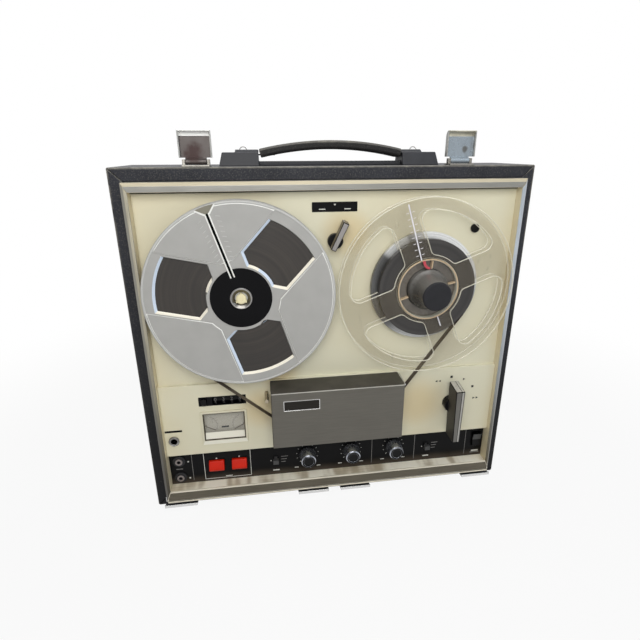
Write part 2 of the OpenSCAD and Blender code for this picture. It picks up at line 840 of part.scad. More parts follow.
module tape_guides() color("#d5d7da") placed() {
    at(-guide_left_x, guide_z) guide_post(guide_r);
    at(guide_right_x, guide_z) guide_post(guide_r);
    at(outer_post_x, outer_post_z) disc(outer_post_r, panel_f, tape_f + tape_w / 2 + outer_post_over);
    at(peg_x, peg_z) disc(peg_r, deck_f, deck_f + table_gap);
}

supply_c = [-reel_x, reel_z];
take_up_c = [reel_x, reel_z];
left_c = [-guide_left_x, guide_z];
right_c = [guide_right_x, guide_z];
supply_path_r = supply_pack_r + tape_clear + tape_t / 2;
take_up_path_r = take_up_pack_r + tape_clear + tape_t / 2;
leave_a = left_normal(supply_c, supply_path_r, left_c, guide_path_r);
join_a = left_normal(right_c, guide_path_r, take_up_c, take_up_path_r);
wrap_steps = 5;

// Each point of the tape's middle line, with the direction of its left side
tape_points = concat(
    [[supply_c - polar(supply_path_r, leave_a), leave_a]],
    [for (i = [0 : wrap_steps]) let (a = leave_a + (90 - leave_a) * i / wrap_steps)
        [left_c - polar(guide_path_r, a), a]],
    [for (i = [0 : wrap_steps]) let (a = 90 + (join_a - 90) * i / wrap_steps)
        [right_c - polar(guide_path_r, a), a]],
    [[take_up_c - polar(take_up_path_r, join_a), join_a]]
);
tape_last = len(tape_points) - 1;

module tape_run() color("#3a2c22") placed() forward(tape_f - tape_w / 2, tape_f + tape_w / 2)
    polygon(concat(
        [for (p = tape_points) p[0] + polar(tape_t / 2, p[1])],
        [for (i = [0 : tape_last]) tape_points[tape_last - i][0]
            - polar(tape_t / 2, tape_points[tape_last - i][1])]
    ));

pinch_len = tape_w + 1.6;

module pinch_arm_outline() difference() {
    union() {
        translate([pivot_x, pivot_z]) circle(pivot_r + 3.5);
        translate([pinch_x, pinch_z]) circle(pinch_pin_r + 3);
        translate([pivot_x, pivot_z]) rotate(atan2(pinch_z - pivot_z, pinch_x - pivot_x))
            translate([pivot_r + 1.5, -3]) square([norm([pinch_x - pivot_x, pinch_z - pivot_z]) - pivot_r - 2, 6]);
    }
    translate([pivot_x, pivot_z]) circle(pivot_r + run_fit);
}

module pinch_arm() color("#8d9095") placed() {
    forward(arm_f0, arm_f1) pinch_arm_outline();
    at(pinch_x, pinch_z) disc(pinch_pin_r, arm_f1, arm_f1 + slide_fit + pinch_len + 1.5);
}

module pinch_roller() color("#1e1d1d") placed() at(pinch_x, pinch_z) difference() {
    disc(pinch_r, arm_f1 + slide_fit, arm_f1 + slide_fit + pinch_len);
    disc(pinch_pin_r + run_fit, arm_f1, arm_f1 + pinch_len + 2);
}

// Reels, packs and tables

spline_w = 1.6;
spline_h = 1.6;
bore_fit = 0.2;
spline_a = [90, 210, 330];
window_in_r = supply_hub_r + 3.5;
window_tip_x = supply_hub_r;
window_tip_half = window_half_w - 10.6;
window_side_x = supply_hub_r + 5.8;
window_a = [47.5, 167.5, 287.5];
slot_a = 107.5;
notch_half_a = 5;
pad_margin = 2.7;
pad_in_r = supply_hub_r + 7;
pad_out_r = reel_r - 2.4;
take_up_window_in_r = take_up_hub_r + 4;
take_up_window_out_r = reel_r - take_up_rim_w;
window_out_round = 8;
window_in_round = 5;
take_up_spoke_a = 21;
web_t = 2;

module spindle_hole() {
    circle(spindle_r + bore_fit);
    for (a = spline_a)
        rotate(a) translate([0, -spline_w / 2 - bore_fit])
            square([spindle_r + spline_h + bore_fit, spline_w + 2 * bore_fit]);
}

module supply_window() difference() {
    intersection() {
        circle(reel_r - supply_rim_w);
        polygon([
            [window_tip_x, -window_tip_half],
            [window_side_x, -window_half_w],
            [reel_r, -window_half_w],
            [reel_r, window_half_w],
            [window_side_x, window_half_w],
            [window_tip_x, window_tip_half]
        ]);
    }
    circle(window_in_r);
}

module supply_flange() difference() {
    circle(reel_r);
    for (a = window_a) rotate(a) supply_window();
    spindle_hole();
}

module thread_slot(from_r) {
    rotate(slot_a) translate([from_r, -thread_slot_w / 2]) square([reel_r, thread_slot_w]);
    polygon([
        polar(reel_r - 5, slot_a),
        polar(reel_r + 1, slot_a - notch_half_a),
        polar(reel_r + 1, slot_a + notch_half_a)
    ]);
}

module supply_pads() difference() {
    circle(pad_out_r);
    circle(pad_in_r);
    for (a = window_a)
        rotate(a) translate([0, -window_half_w - pad_margin]) square([reel_r, 2 * (window_half_w + pad_margin)]);
    thread_slot(pad_in_r - 2);
}

module supply_reel() color("#b0b0ac") placed() at(-reel_x, reel_z) {
    forward(seat_f, seat_f + flange_t) supply_flange();
    forward(reel_f - flange_t, reel_f) difference() {
        supply_flange();
        thread_slot(supply_hub_r + 1);
    }
    forward(reel_f, reel_f + pad_h) supply_pads();
    forward(seat_f + flange_t, reel_f - flange_t) difference() {
        circle(supply_hub_r);
        spindle_hole();
    }
}

module tape_pack(inner_r, outer_r) difference() {
    disc(outer_r, tape_f - tape_w / 2, tape_f + tape_w / 2);
    disc(inner_r, tape_f - tape_w, tape_f + tape_w);
}

module supply_tape() color("#3a2f28") placed() at(-reel_x, reel_z) tape_pack(supply_hub_r, supply_pack_r);

module take_up_tape() color("#1f1b19") placed() at(reel_x, reel_z) tape_pack(take_up_hub_r, take_up_pack_r);

// Points on an arc after its first one
function arc_points(centre, r, a0, a1, steps) =
    [for (i = [1 : steps]) centre + polar(r, a0 + (a1 - a0) * i / steps)];

window_in_c = [sqrt(pow(take_up_window_in_r + window_in_round, 2) - pow(spoke_half_w + window_in_round, 2)),
    spoke_half_w + window_in_round];
window_out_c = [sqrt(pow(take_up_window_out_r - window_out_round, 2) - pow(spoke_half_w + window_out_round, 2)),
    spoke_half_w + window_out_round];
window_in_a = atan2(window_in_c[1], window_in_c[0]);
window_out_a = atan2(window_out_c[1], window_out_c[0]);

// Half of a window between the spokes at 0 and 90 degrees, from the middle of its inner edge to that of its outer
window_points = concat(
    [polar(take_up_window_in_r, 45)],
    arc_points([0, 0], take_up_window_in_r, 45, window_in_a, 3),
    arc_points(window_in_c, window_in_round, 180 + window_in_a, 270, 5),
    [window_out_c - [0, window_out_round]],
    arc_points(window_out_c, window_out_round, 270, 360 + window_out_a, 7),
    arc_points([0, 0], take_up_window_out_r, window_out_a, 45, 6)
);
window_last = len(window_points) - 1;

module take_up_window() polygon(concat(
    window_points,
    [for (i = [1 : window_last - 1]) [window_points[window_last - i][1], window_points[window_last - i][0]]]
));

module take_up_flange() difference() {
    circle(reel_r);
    for (i = [0 : 3]) rotate(take_up_spoke_a + i * 90) take_up_window();
    spindle_hole();
}

module take_up_reel() color("#cfd2cf", 0.5) placed() at(reel_x, reel_z) {
    forward(seat_f, seat_f + flange_t) take_up_flange();
    forward(reel_f - flange_t, reel_f) difference() {
        take_up_flange();
        circle(take_up_hub_r - web_t);
    }
    forward(seat_f + flange_t, reel_f - flange_t) difference() {
        circle(take_up_hub_r);
        circle(take_up_hub_r - web_t);
    }
    forward(seat_f + flange_t, reel_f - flange_t) difference() {
        circle(spindle_r + spline_h + web_t);
        spindle_hole();
    }
}

module reel_table() {
    disc(table_r, seat_f - table_t, seat_f);
    disc(boss_r, chassis_f + bush_flange_t + thrust_gap, seat_f - table_t);
    disc(spindle_r, chassis_rear_f - bush_back - 2, chassis_f + bush_flange_t + thrust_gap);
    forward(seat_f, spindle_f) {
        circle(spindle_r);
        for (a = spline_a)
            rotate(a) translate([0, -spline_w / 2]) square([spindle_r + spline_h, spline_w]);
    }
}

module supply_table() color("#c4c6c8") placed() at(-reel_x, reel_z) reel_table();

module take_up_table() color("#c4c6c8") placed() at(reel_x, reel_z) reel_table();

cap_base_r = cap_r + 6;
cap_flare_h = 6;
cap_bore_r = spindle_r + spline_h + bore_fit;

module reel_cap() color("#141414") placed() at(reel_x, reel_z) difference() {
    translate([0, -reel_f, 0]) rotate([90, 0, 0]) rotate_extrude() polygon([
        [0, flange_t - reel_t + web_t],
        [cap_base_r, flange_t - reel_t + web_t],
        [cap_base_r, 1],
        [cap_r + 2.5, cap_flare_h],
        [cap_r, cap_len - 1.2],
        [cap_r - 1.2, cap_len],
        [0, cap_len]
    ]);
    disc(cap_bore_r + web_t + bore_fit, 0, reel_f - flange_t + bore_fit);
    disc(cap_bore_r, 0, spindle_f + bore_fit);
}

// Levers

module lever_blade(front, back, up, down, top_w, low_w, slant) intersection() {
    along_x(-top_w, top_w) polygon([
        [-back, -down],
        [-front, -down],
        [-front, up],
        [-back, up + slant]
    ]);
    forward(back, front) polygon([
        [-low_w / 2, -down],
        [low_w / 2, -down],
        [top_w / 2, up + slant],
        [-top_w / 2, up + slant]
    ]);
}

lever_hub_r = 8.5;
lever_stand = 6.5;
lever_low_w = lever_w - 2.5;
lever_slant = 3;
cam_r = 15;

module function_lever() color("#4a4743") placed() at(lever_x, lever_z) {
    disc(lever_hub_r, panel_f + slide_fit, panel_f + lever_stand + 2);
    lever_blade(lever_f, panel_f + lever_stand, lever_up, lever_down, lever_w, lever_low_w, lever_slant);
    disc(lever_shaft_r, panel_back_f - 10, panel_f + slide_fit);
    disc(cam_r, panel_back_f - 9, panel_back_f - 5);
}

speed_hub_r = 7.3;
speed_up = 20;
speed_down = 8;
speed_depth = 15;
speed_stand = 5;
speed_w = 6;

module speed_lever() color("#4a4743") placed() at(0, speed_z) rotate([0, speed_tilt, 0]) {
    disc(speed_hub_r, deck_f + slide_fit, deck_f + speed_stand + 1.5);
    lever_blade(deck_f + speed_depth, deck_f + speed_stand, speed_up, speed_down, speed_w, speed_w - 1, 1.5);
    disc(speed_shaft_r, deck_f - deck_t - 6, deck_f + slide_fit);
    disc(speed_shaft_r + 3, deck_f - deck_t - 5, deck_f - deck_t - slide_fit);
}

// Meter and counter

meter_wall = 2.2;
meter_sill = 4.6;
meter_depth = 8;
meter_proud = 0.8;
lens_t = 1.2;
lens_f = panel_f - 2;
dial_f = panel_f - 6;
pivot_place = meter_w / 2 - 3.7;
pivot_rise = -1.2;
needle_r = 1.2;
needle_pin_r = 0.5;
needle_len = 11.5;
needle_w = 0.6;
needle_rest = 27;

module meter_housing() color("#d9d2b8") placed() at(meter_x, meter_z) {
    difference() {
        block(-meter_w / 2, meter_w / 2, panel_f - meter_depth, panel_f + meter_proud, -meter_h / 2, meter_h / 2);
        block(meter_wall - meter_w / 2, meter_w / 2 - meter_wall, dial_f, panel_f + 2,
            meter_sill - meter_h / 2, meter_h / 2 - meter_wall);
    }
    both_sides() at(pivot_place, pivot_rise) disc(needle_pin_r, dial_f, lens_f - lens_t - 0.2);
}

module meter_lens() color("#dfe8ea", 0.3) placed() at(meter_x, meter_z)
    block(meter_wall - meter_w / 2, meter_w / 2 - meter_wall, lens_f - lens_t, lens_f,
        meter_sill - meter_h / 2, meter_h / 2 - meter_wall);

module needle(direction) difference() {
    union() {
        disc(needle_r, dial_f + slide_fit, dial_f + slide_fit + 1);
        rotate([0, direction, 0])
            block(0, needle_len, dial_f + slide_fit + 0.2, dial_f + slide_fit + 0.8, -needle_w / 2, needle_w / 2);
    }
    disc(needle_pin_r + run_fit, dial_f, dial_f + 3);
}

module needle_left() color("#1a1a1a") placed() at(meter_x - pivot_place, meter_z + pivot_rise) needle(needle_rest);

module needle_right() color("#1a1a1a") placed() at(meter_x + pivot_place, meter_z + pivot_rise) needle(180 - needle_rest);

drum_f = panel_back_f - drum_r - 0.6;
drum_x0 = -10;
drum_x1 = counter_w / 2 - 3;
drum_shaft_r = 1.5;
counter_depth = 18;
counter_body_h = 2 * drum_r + 5;
reset_x = -counter_w / 2 + 5.5;
reset_w = 5;
reset_h = 7;

module counter_housing() color("#131315") placed() at(counter_x, counter_z) difference() {
    union() {
        block(-counter_w / 2, counter_w / 2, panel_back_f - counter_depth, panel_back_f,
            -counter_body_h / 2, counter_body_h / 2);
        block(-counter_w / 2, counter_w / 2, panel_back_f, panel_f, -counter_h / 2, counter_h / 2);
    }
    block(drum_x0 - slide_fit, drum_x1 + slide_fit, panel_back_f - counter_depth + 1.5, panel_back_f,
        -drum_r - 0.6, drum_r + 0.6);
    block(drum_x0 - slide_fit, drum_x1 + slide_fit, panel_back_f - 1, panel_f + 1,
        1 - counter_h / 2, counter_h / 2 - 1);
    translate([0, -drum_f, 0]) cross_bar(drum_shaft_r + run_fit, drum_x0 - 3, drum_x1 + 2.2);
    block(reset_x - reset_w / 2 - slide_fit, reset_x + reset_w / 2 + slide_fit, panel_back_f - 9, panel_f + 1,
        -reset_h / 2 - slide_fit, reset_h / 2 + slide_fit);
}

module counter_drums() color("#1b1b1d") placed() at(counter_x, counter_z) translate([0, -drum_f, 0]) {
    cross_bar(drum_r, drum_x0, drum_x1);
    cross_bar(drum_shaft_r, drum_x0 - 2, drum_x1 + 2);
}

module counter_reset() color("#1e1e20") placed() at(counter_x, counter_z)
    block(reset_x - reset_w / 2, reset_x + reset_w / 2, panel_back_f - 5, panel_f + 2.2,
        -reset_h / 2, reset_h / 2);

// Sockets, knobs, buttons and switches

phone_thread_r = phone_bore_r + 1.6;
phone_depth = 20;

module headphone_jack() color("#8f8c84") placed() at(phone_x, phone_z) difference() {
    union() {
        disc(phone_thread_r, panel_back_f, panel_f);
        disc(phone_thread_r + 0.7, panel_f, panel_f + 2);
        block(-7, 7, panel_back_f - phone_depth, panel_back_f, -7, 7);
    }
    disc(phone_bore_r, panel_back_f - phone_depth + 2, panel_f + 3);
}

module microphone_jacks() color("#1f1f21") placed() for (side = [-1, 1])
    at(mic_x, mic_mid_z + side * mic_pitch / 2) difference() {
        union() {
            disc(mic_thread_r, -strip_t, 0);
            disc(mic_thread_r + 2.3, 0, 1.4);
            disc(mic_thread_r, 1.4, 2.4);
            block(-6, 6, -strip_t - 18, -strip_t, -6, 6);
        }
        disc(mic_bore_r, -strip_t - 15, 4);
    }

pot_depth = 12;
pot_r = 10.5;
pot_end = 2;

module potentiometers() color("#77797d") placed() for (x = knob_x) at(x, knob_z) difference() {
    union() {
        disc(pot_r, -strip_t - pot_depth, -strip_t);
        disc(pot_bush_r, -strip_t, knob_stand - slide_fit);
    }
    disc(shaft_r + run_fit, -strip_t - pot_depth + pot_end, knob_stand);
}

flute_count = 20;
flute_r = 1.1;
knob_ring_w = 0.7;
knob_ring_h = 1.4;
knob_dish_r = 5.4;
knob_dish = 0.8;

module knob(x) placed() at(x, knob_z) difference() {
    union() {
        disc(shaft_r, -strip_t - pot_depth + pot_end + 1, knob_stand);
        cone(knob_r, knob_front_r, knob_stand, knob_len);
        disc(knob_front_r - knob_ring_w, knob_len, knob_len + knob_ring_h);
    }
    disc(knob_dish_r, knob_len + knob_ring_h - knob_dish, knob_len + knob_ring_h + 1);
    for (i = [0 : flute_count - 1])
        at(knob_r * cos(i * 360 / flute_count), knob_r * sin(i * 360 / flute_count))
            disc(flute_r, knob_stand - 1, knob_len + 1);
}

module knob_left() color("#2a2a2c") knob(knob_x[0]);

module knob_middle() color("#2a2a2c") knob(knob_x[1]);

module knob_right() color("#2a2a2c") knob(knob_x[2]);

button_back = 10;
button_low_f = 6.5;
button_top_f = 2;
button_chin = 2;

module record_button(x) placed() at(x, button_z) {
    along_x(-button_w / 2, button_w / 2) polygon([
        [button_back, -button_h / 2],
        [button_chin - button_low_f, -button_h / 2],
        [-button_low_f, -button_h / 2 + 3],
        [-button_top_f, button_h / 2],
        [button_back, button_h / 2]
    ]);
}

module record_button_left() color("#dd2a12") record_button(button_x[0]);

module record_button_right() color("#dd2a12") record_button(button_x[1]);

module slider(x) placed() at(x, slide_z) {
    block(-slide_neck / 2, slide_neck / 2, -strip_t - 3, slide_fit, -slide_neck / 2, slide_neck / 2);
    block(-3, 3, slide_fit, 5, -2.5, 2.5);
    block(-4, 4, -strip_t - 4, -strip_t - slide_fit, -3, 3);
}

module slide_left() color("#3a3a3d") slider(slide_x[0]);

module slide_right() color("#3a3a3d") slider(slide_x[1]);

module power_switch() color("#202022") placed() at(power_x, power_z) {
    along_x(-power_half_w, power_half_w) polygon([
        [7, -3],
        [-0.5, -power_half_h],
        [-4, -power_half_h],
        [-2.4, 0],
        [-4, power_half_h],
        [-0.5, power_half_h],
        [7, 3]
    ]);
    translate([0, -power_axis_f, 0])
        cross_bar(power_pin_r, -power_half_w - slide_fit - power_ear_t, power_half_w + slide_fit + power_ear_t);
}

// Head cover

cover_z0 = deck_z + cover_rise;
cover_z1 = cover_z0 + cover_h;
cover_half = cover_w / 2;
cover_back_f = panel_f + slide_fit;
strand_slot_f = tape_f + tape_w / 2 + 2.5;
left_slot_z = [tape_z + 5, tape_z + 26];
right_slot_z = [tape_z + 16, tape_z + 44];

module head_cover() color("#55524c") placed() difference() {
    block(-cover_half, cover_half, cover_back_f, cover_f, cover_z0, cover_z1);
    block(cover_wall - cover_half, cover_half - cover_wall, cover_back_f - 1, cover_f - cover_wall,
        cover_z0 + cover_wall, cover_z1 - cover_wall);
    block(-cover_half - 1, cover_wall - cover_half + 1, cover_back_f - 1, strand_slot_f,
        left_slot_z[0], left_slot_z[1]);
    block(cover_half - cover_wall - 1, cover_half + 1, cover_back_f - 1, strand_slot_f,
        right_slot_z[0], right_slot_z[1]);
}

// Handle

handle_z = case_h + strap_h;
ridge_h = 4;
ridge_w = 10;
block_x0 = strap_half + block_gap;
block_x1 = block_x0 + block_len;
block_chamfer = 3;
pin_boss_r = pin_r + 1.6;
pin_end = block_x0 + 20;

module handle_blocks() color("#222225") placed() translate([0, handle_back, case_h]) {
    both_sides() difference() {
        union() {
            intersection() {
                along_x(block_x0, block_x1) polygon([
                    [-block_w / 2, 0],
                    [block_chamfer - block_w / 2, block_h],
                    [block_w / 2 - block_chamfer, block_h],
                    [block_w / 2, 0]
                ]);
                translate([0, block_w, 0]) rotate([90, 0, 0]) linear_extrude(2 * block_w) polygon([
                    [block_x0, 0],
                    [block_x1, 0],
                    [block_x1 - block_chamfer, block_h],
                    [block_x0, block_h]
                ]);
            }
            translate([0, 0, strap_h]) cross_bar(pin_boss_r, block_x0, pin_end + 1.5);
        }
        translate([0, 0, strap_h]) cross_bar(pin_r + run_fit, block_x0 - 1, pin_end + slide_fit);
    }
    translate([-block_x0, -ridge_w / 2, 0]) cube([2 * block_x0, ridge_w, ridge_h]);
}

strap_chamfer = 2;

module strap_section() polygon([
    [-strap_t / 2, -strap_w / 2 + strap_chamfer],
    [-strap_t / 2 + strap_chamfer, -strap_w / 2],
    [strap_t / 2 - strap_chamfer, -strap_w / 2],
    [strap_t / 2, -strap_w / 2 + strap_chamfer],
    [strap_t / 2, strap_w / 2 - strap_chamfer],
    [strap_t / 2 - strap_chamfer, strap_w / 2],
    [-strap_t / 2 + strap_chamfer, strap_w / 2],
    [-strap_t / 2, strap_w / 2 - strap_chamfer]
]);

pin_depth = 14;

module handle_strap() color("#2b2b2d") placed() translate([0, handle_back, handle_z]) difference() {
    translate([0, 0, strap_rise - strap_arc_r]) rotate([90, 0, 0])
        rotate([0, 0, 90 - strap_arc_a])
            rotate_extrude(angle = 2 * strap_arc_a, $fn = 180)
                translate([strap_arc_r, 0]) strap_section();
    both_sides() cross_bar(pin_r, strap_half - pin_depth, strap_half + 5);
}

module handle_pins() color("#c7c9cc") placed() translate([0, handle_back, handle_z])
    both_sides() cross_bar(pin_r, strap_half - pin_depth, pin_end);

// Latches

latch_base_w = 24;
latch_base_t = 1.5;
latch_base_d = 15;
latch_ear_t = 2.5;
latch_ear_half = 2.4;
latch_ear_over = 2;
latch_barrel_r = 2.6;
latch_plate_t = 1.2;
latch_plate_back = 1.4;
latch_curl_r = 6;
latch_curl_a = 80;
latch_curl_steps = 10;
latch_inner = latch_base_w / 2 - latch_ear_t - slide_fit;

module latch_bases() color("#bfc2c6") placed() both_sides()
    translate([latch_x, latch_axis_back, case_h]) {
        translate([-latch_base_w / 2, -latch_base_d / 2, 0]) cube([latch_base_w, latch_base_d, latch_base_t]);
        for (side = [-1, 1])
            translate([side * (latch_base_w - latch_ear_t) / 2 - latch_ear_t / 2, -latch_ear_half, 0])
                cube([latch_ear_t, 2 * latch_ear_half, latch_axis_h + latch_ear_over]);
        translate([0, 0, latch_axis_h]) cross_bar(latch_pin_r, -latch_base_w / 2, latch_base_w / 2);
    }

latch_foot_h = 3.4;
latch_rear = latch_plate_back + latch_plate_t;
latch_curl_c = [latch_rear - latch_curl_r, latch_h - latch_axis_h - latch_curl_r];
latch_curl_in = latch_curl_r - latch_plate_t;
latch_curl_mid = latch_curl_r - latch_plate_t / 2;

// Plate with its top curled to the front
latch_section = concat(
    [[latch_plate_back, latch_foot_h], [latch_rear, latch_foot_h], [latch_rear, latch_curl_c[1]]],
    arc_points(latch_curl_c, latch_curl_r, 0, latch_curl_a, latch_curl_steps),
    [latch_curl_c + polar(latch_curl_in, latch_curl_a)],
    arc_points(latch_curl_c, latch_curl_in, latch_curl_a, 0, latch_curl_steps)
);

// Side wall, which ends inside the curl
latch_side = concat(
    [[latch_curl_c[0] + latch_curl_mid * cos(latch_curl_a), latch_foot_h]],
    [[latch_curl_c[0] + latch_curl_mid, latch_foot_h], [latch_curl_c[0] + latch_curl_mid, latch_curl_c[1]]],
    arc_points(latch_curl_c, latch_curl_mid, 0, latch_curl_a, latch_curl_steps)
);

module latch(side) placed() translate([side * latch_x, latch_axis_back, case_h + latch_axis_h]) {
    difference() {
        union() {
            cross_bar(latch_barrel_r, -latch_inner, latch_inner);
            translate([-latch_inner, 0, 0]) cube([2 * latch_inner, latch_barrel_r, latch_foot_h]);
        }
        cross_bar(latch_pin_r + run_fit, -latch_base_w, latch_base_w);
    }
    along_x(-latch_w / 2, latch_w / 2) polygon(latch_section);
    for (x = [-latch_w / 2, latch_w / 2 - latch_plate_t])
        along_x(x, x + latch_plate_t) polygon(latch_side);
}

module latch_left() color("#bfc2c6") latch(-1);

module latch_right() color("#bfc2c6") latch(1);

case_boards();
rear_cover();
rear_screws();
bottom_feet();
rear_feet();
hinge_plates();
trim_frame();
deck_panel();
control_strip();
handle_blocks();
latch_bases();
chassis_plate();
bearings();
motor_body();
transformer();
amplifier_board();
potentiometers();
head_bracket();
erase_head();
record_head();
tape_guides();
tape_run();
meter_housing();
meter_lens();
counter_housing();
headphone_jack();
microphone_jacks();
line_jacks();
mains_inlet();
drive_belt();
handle_strap();
handle_pins();
latch_left();
latch_right();
supply_reel();
supply_tape();
supply_table();
take_up_reel();
take_up_tape();
take_up_table();
reel_cap();
flywheel();
motor_rotor();
pinch_arm();
pinch_roller();
function_lever();
speed_lever();
needle_left();
needle_right();
counter_drums();
counter_reset();
record_button_left();
record_button_right();
knob_left();
knob_middle();
knob_right();
slide_left();
slide_right();
power_switch();
head_cover();
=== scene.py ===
"""Dress a portable reel-to-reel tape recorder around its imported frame."""
import json
import logging
import math
from collections.abc import Callable, Sequence
from dataclasses import dataclass, replace
from enum import Enum, IntEnum
from typing import ClassVar

import bmesh
import bpy
from mathutils import Matrix, Vector


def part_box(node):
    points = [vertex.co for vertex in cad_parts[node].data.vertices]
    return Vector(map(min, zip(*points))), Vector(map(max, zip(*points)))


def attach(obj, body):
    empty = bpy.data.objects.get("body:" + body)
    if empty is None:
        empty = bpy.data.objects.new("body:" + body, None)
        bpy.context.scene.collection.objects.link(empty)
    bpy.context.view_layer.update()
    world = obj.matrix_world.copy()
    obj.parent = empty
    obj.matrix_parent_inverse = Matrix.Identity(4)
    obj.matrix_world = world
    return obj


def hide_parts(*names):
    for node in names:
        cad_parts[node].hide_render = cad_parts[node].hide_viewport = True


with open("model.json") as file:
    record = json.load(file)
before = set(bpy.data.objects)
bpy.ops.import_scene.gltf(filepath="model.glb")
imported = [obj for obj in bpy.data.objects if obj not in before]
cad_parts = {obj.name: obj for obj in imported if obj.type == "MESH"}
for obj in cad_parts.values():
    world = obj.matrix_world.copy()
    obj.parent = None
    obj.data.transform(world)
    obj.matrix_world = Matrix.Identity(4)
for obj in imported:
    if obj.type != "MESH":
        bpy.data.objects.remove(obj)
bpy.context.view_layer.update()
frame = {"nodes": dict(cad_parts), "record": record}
LOG = logging.getLogger("recorder")

Colour = tuple[float, float, float, float]
Pair = tuple[float, float]

MM = 0.001
WHITE = (1.0, 1.0, 1.0, 1.0)
RECORD = frame["record"]
BODY_OF = {node: body for body, nodes in RECORD["behaviour"]["bodies"].items() for node in nodes}

# The case rim and the case bottom are the zero planes of the front view
CASE_LOW, CASE_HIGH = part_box("case_boards")
TO_PART = Matrix.Translation((0.0, CASE_LOW.y, CASE_LOW.z)) @ Matrix.Scale(MM, 4)
TO_FRONT = TO_PART.inverted()

# Mesh tolerances, in millimetres and degrees
WELD = 0.002
FLAT_ANGLE = 0.6
SHARP_ANGLE = 38.0
EDGE_ANGLE = 28.0
LEVEL = 0.05

# Part of a face's normal above which it looks straight along an axis
FACING = 0.97

# Sizes that several sub-assemblies share, in millimetres, and repeats of a metal's grain in a metre
INK_T = 0.08
AXIS_GAP = 0.05
LEVER_AXIS_Z = 107.5
GRAIN_LINES = 2600.0

SIDES = (-1, 1)
KNOBS = ("knob_left", "knob_middle", "knob_right")
SLIDES = ("slide_left", "slide_right")


def on_front(x: float, z: float) -> Pair:
    """Turns a place in the front view, in millimetres, into the part's X and Z, in metres."""
    place = TO_PART @ Vector((x, 0.0, z))
    return place.x, place.z


@dataclass(frozen=True)
class Span:
    """Box of a CAD node in the front view, in millimetres.

    X points right, f from the rim towards the viewer, and Z up.
    """

    x0: float
    x1: float
    f0: float
    f1: float
    z0: float
    z1: float

    @property
    def x(self) -> float:
        """Middle of the box along X."""
        return (self.x0 + self.x1) / 2

    @property
    def z(self) -> float:
        """Middle of the box along Z."""
        return (self.z0 + self.z1) / 2

    @property
    def axis(self) -> Pair:
        """Middle of the box along the part's X and Z, in metres."""
        return on_front(self.x, self.z)

    def away(self, point: Vector) -> float:
        """Distance of a point from the line through the middle that points at the viewer."""
        return math.hypot(point.x - self.x, point.z - self.z)


def span(node: str) -> Span:
    """Gives a CAD node's box in the front view, in millimetres."""
    low, high = (TO_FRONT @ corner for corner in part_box(node))
    return Span(low.x, high.x, -high.y, -low.y, low.z, high.z)


def tint(red: int, green: int, blue: int) -> Colour:
    """Turns a display colour into a linear one.

    Args:
        red: Red from 0 to 255.
        green: Green from 0 to 255.
        blue: Blue from 0 to 255.

    Returns:
        Linear colour with full opacity.
    """
    parts = (c / 255.0 for c in (red, green, blue))
    linear = (c / 12.92 if c <= 0.04045 else ((c + 0.055) / 1.055) ** 2.4 for c in parts)
    return (*linear, 1.0)


def toned(colour: Colour, factor: float, lift: float = 0.0) -> Colour:
    """Multiplies each part of a linear colour, adds a lift, and keeps full opacity."""
    return (*(min(1.0, factor * part + lift) for part in colour[:3]), 1.0)


class Axis(Enum):
    """Direction of a grain, as the stretch of its pattern along X, Y and Z."""

    ACROSS = (0.02, 1.0, 1.0)
    UPRIGHT = (1.0, 1.0, 0.02)
    DEEP = (1.0, 0.02, 1.0)


# Shader building


@dataclass(frozen=True)
class Value:
    """A number that changes over a surface; arithmetic on it adds Math nodes."""

    graph: "Graph"
    socket: bpy.types.NodeSocket

    def math(self, operation: str, *others: "Value | float") -> "Value":
        """Adds one Math node.

        Args:
            operation: Name of the node's operation.
            others: Its further operands.

        Returns:
            The node's result.
        """
        sockets = dict(enumerate((self, *others)))
        made = self.graph.node("ShaderNodeMath", {"operation": operation}, sockets)
        return Value(self.graph, made.outputs[0])

    def __add__(self, other: "Value | float") -> "Value":
        """Sum."""
        return self.math("ADD", other)

    __radd__ = __add__

    def __mul__(self, other: "Value | float") -> "Value":
        """Product."""
        return self.math("MULTIPLY", other)

    __rmul__ = __mul__

    def __sub__(self, other: "Value | float") -> "Value":
        """Difference."""
        return self.math("SUBTRACT", other)

    def __rsub__(self, other: float) -> "Value":
        """Difference from a number."""
        return self * -1.0 + other

    def __abs__(self) -> "Value":
        """Size without sign."""
        return self.math("ABSOLUTE")

    def least(self, other: "Value | float") -> "Value":
        """Smaller of two."""
        return self.math("MINIMUM", other)

    def most(self, other: "Value | float") -> "Value":
        """Larger of two."""
        return self.math("MAXIMUM", other)

    def rise(self, low: float, high: float) -> "Value":
        """Smooth step between two limits.

        Args:
            low: Where it is 0.
            high: Where it is 1.

        Returns:
            The step, from 0 to 1.
        """
        sockets = {"Value": self, "From Min": low, "From Max": high}
        made = self.graph.node("ShaderNodeMapRange", {"interpolation_type": "SMOOTHSTEP"}, sockets)
        return Value(self.graph, made.outputs[0])


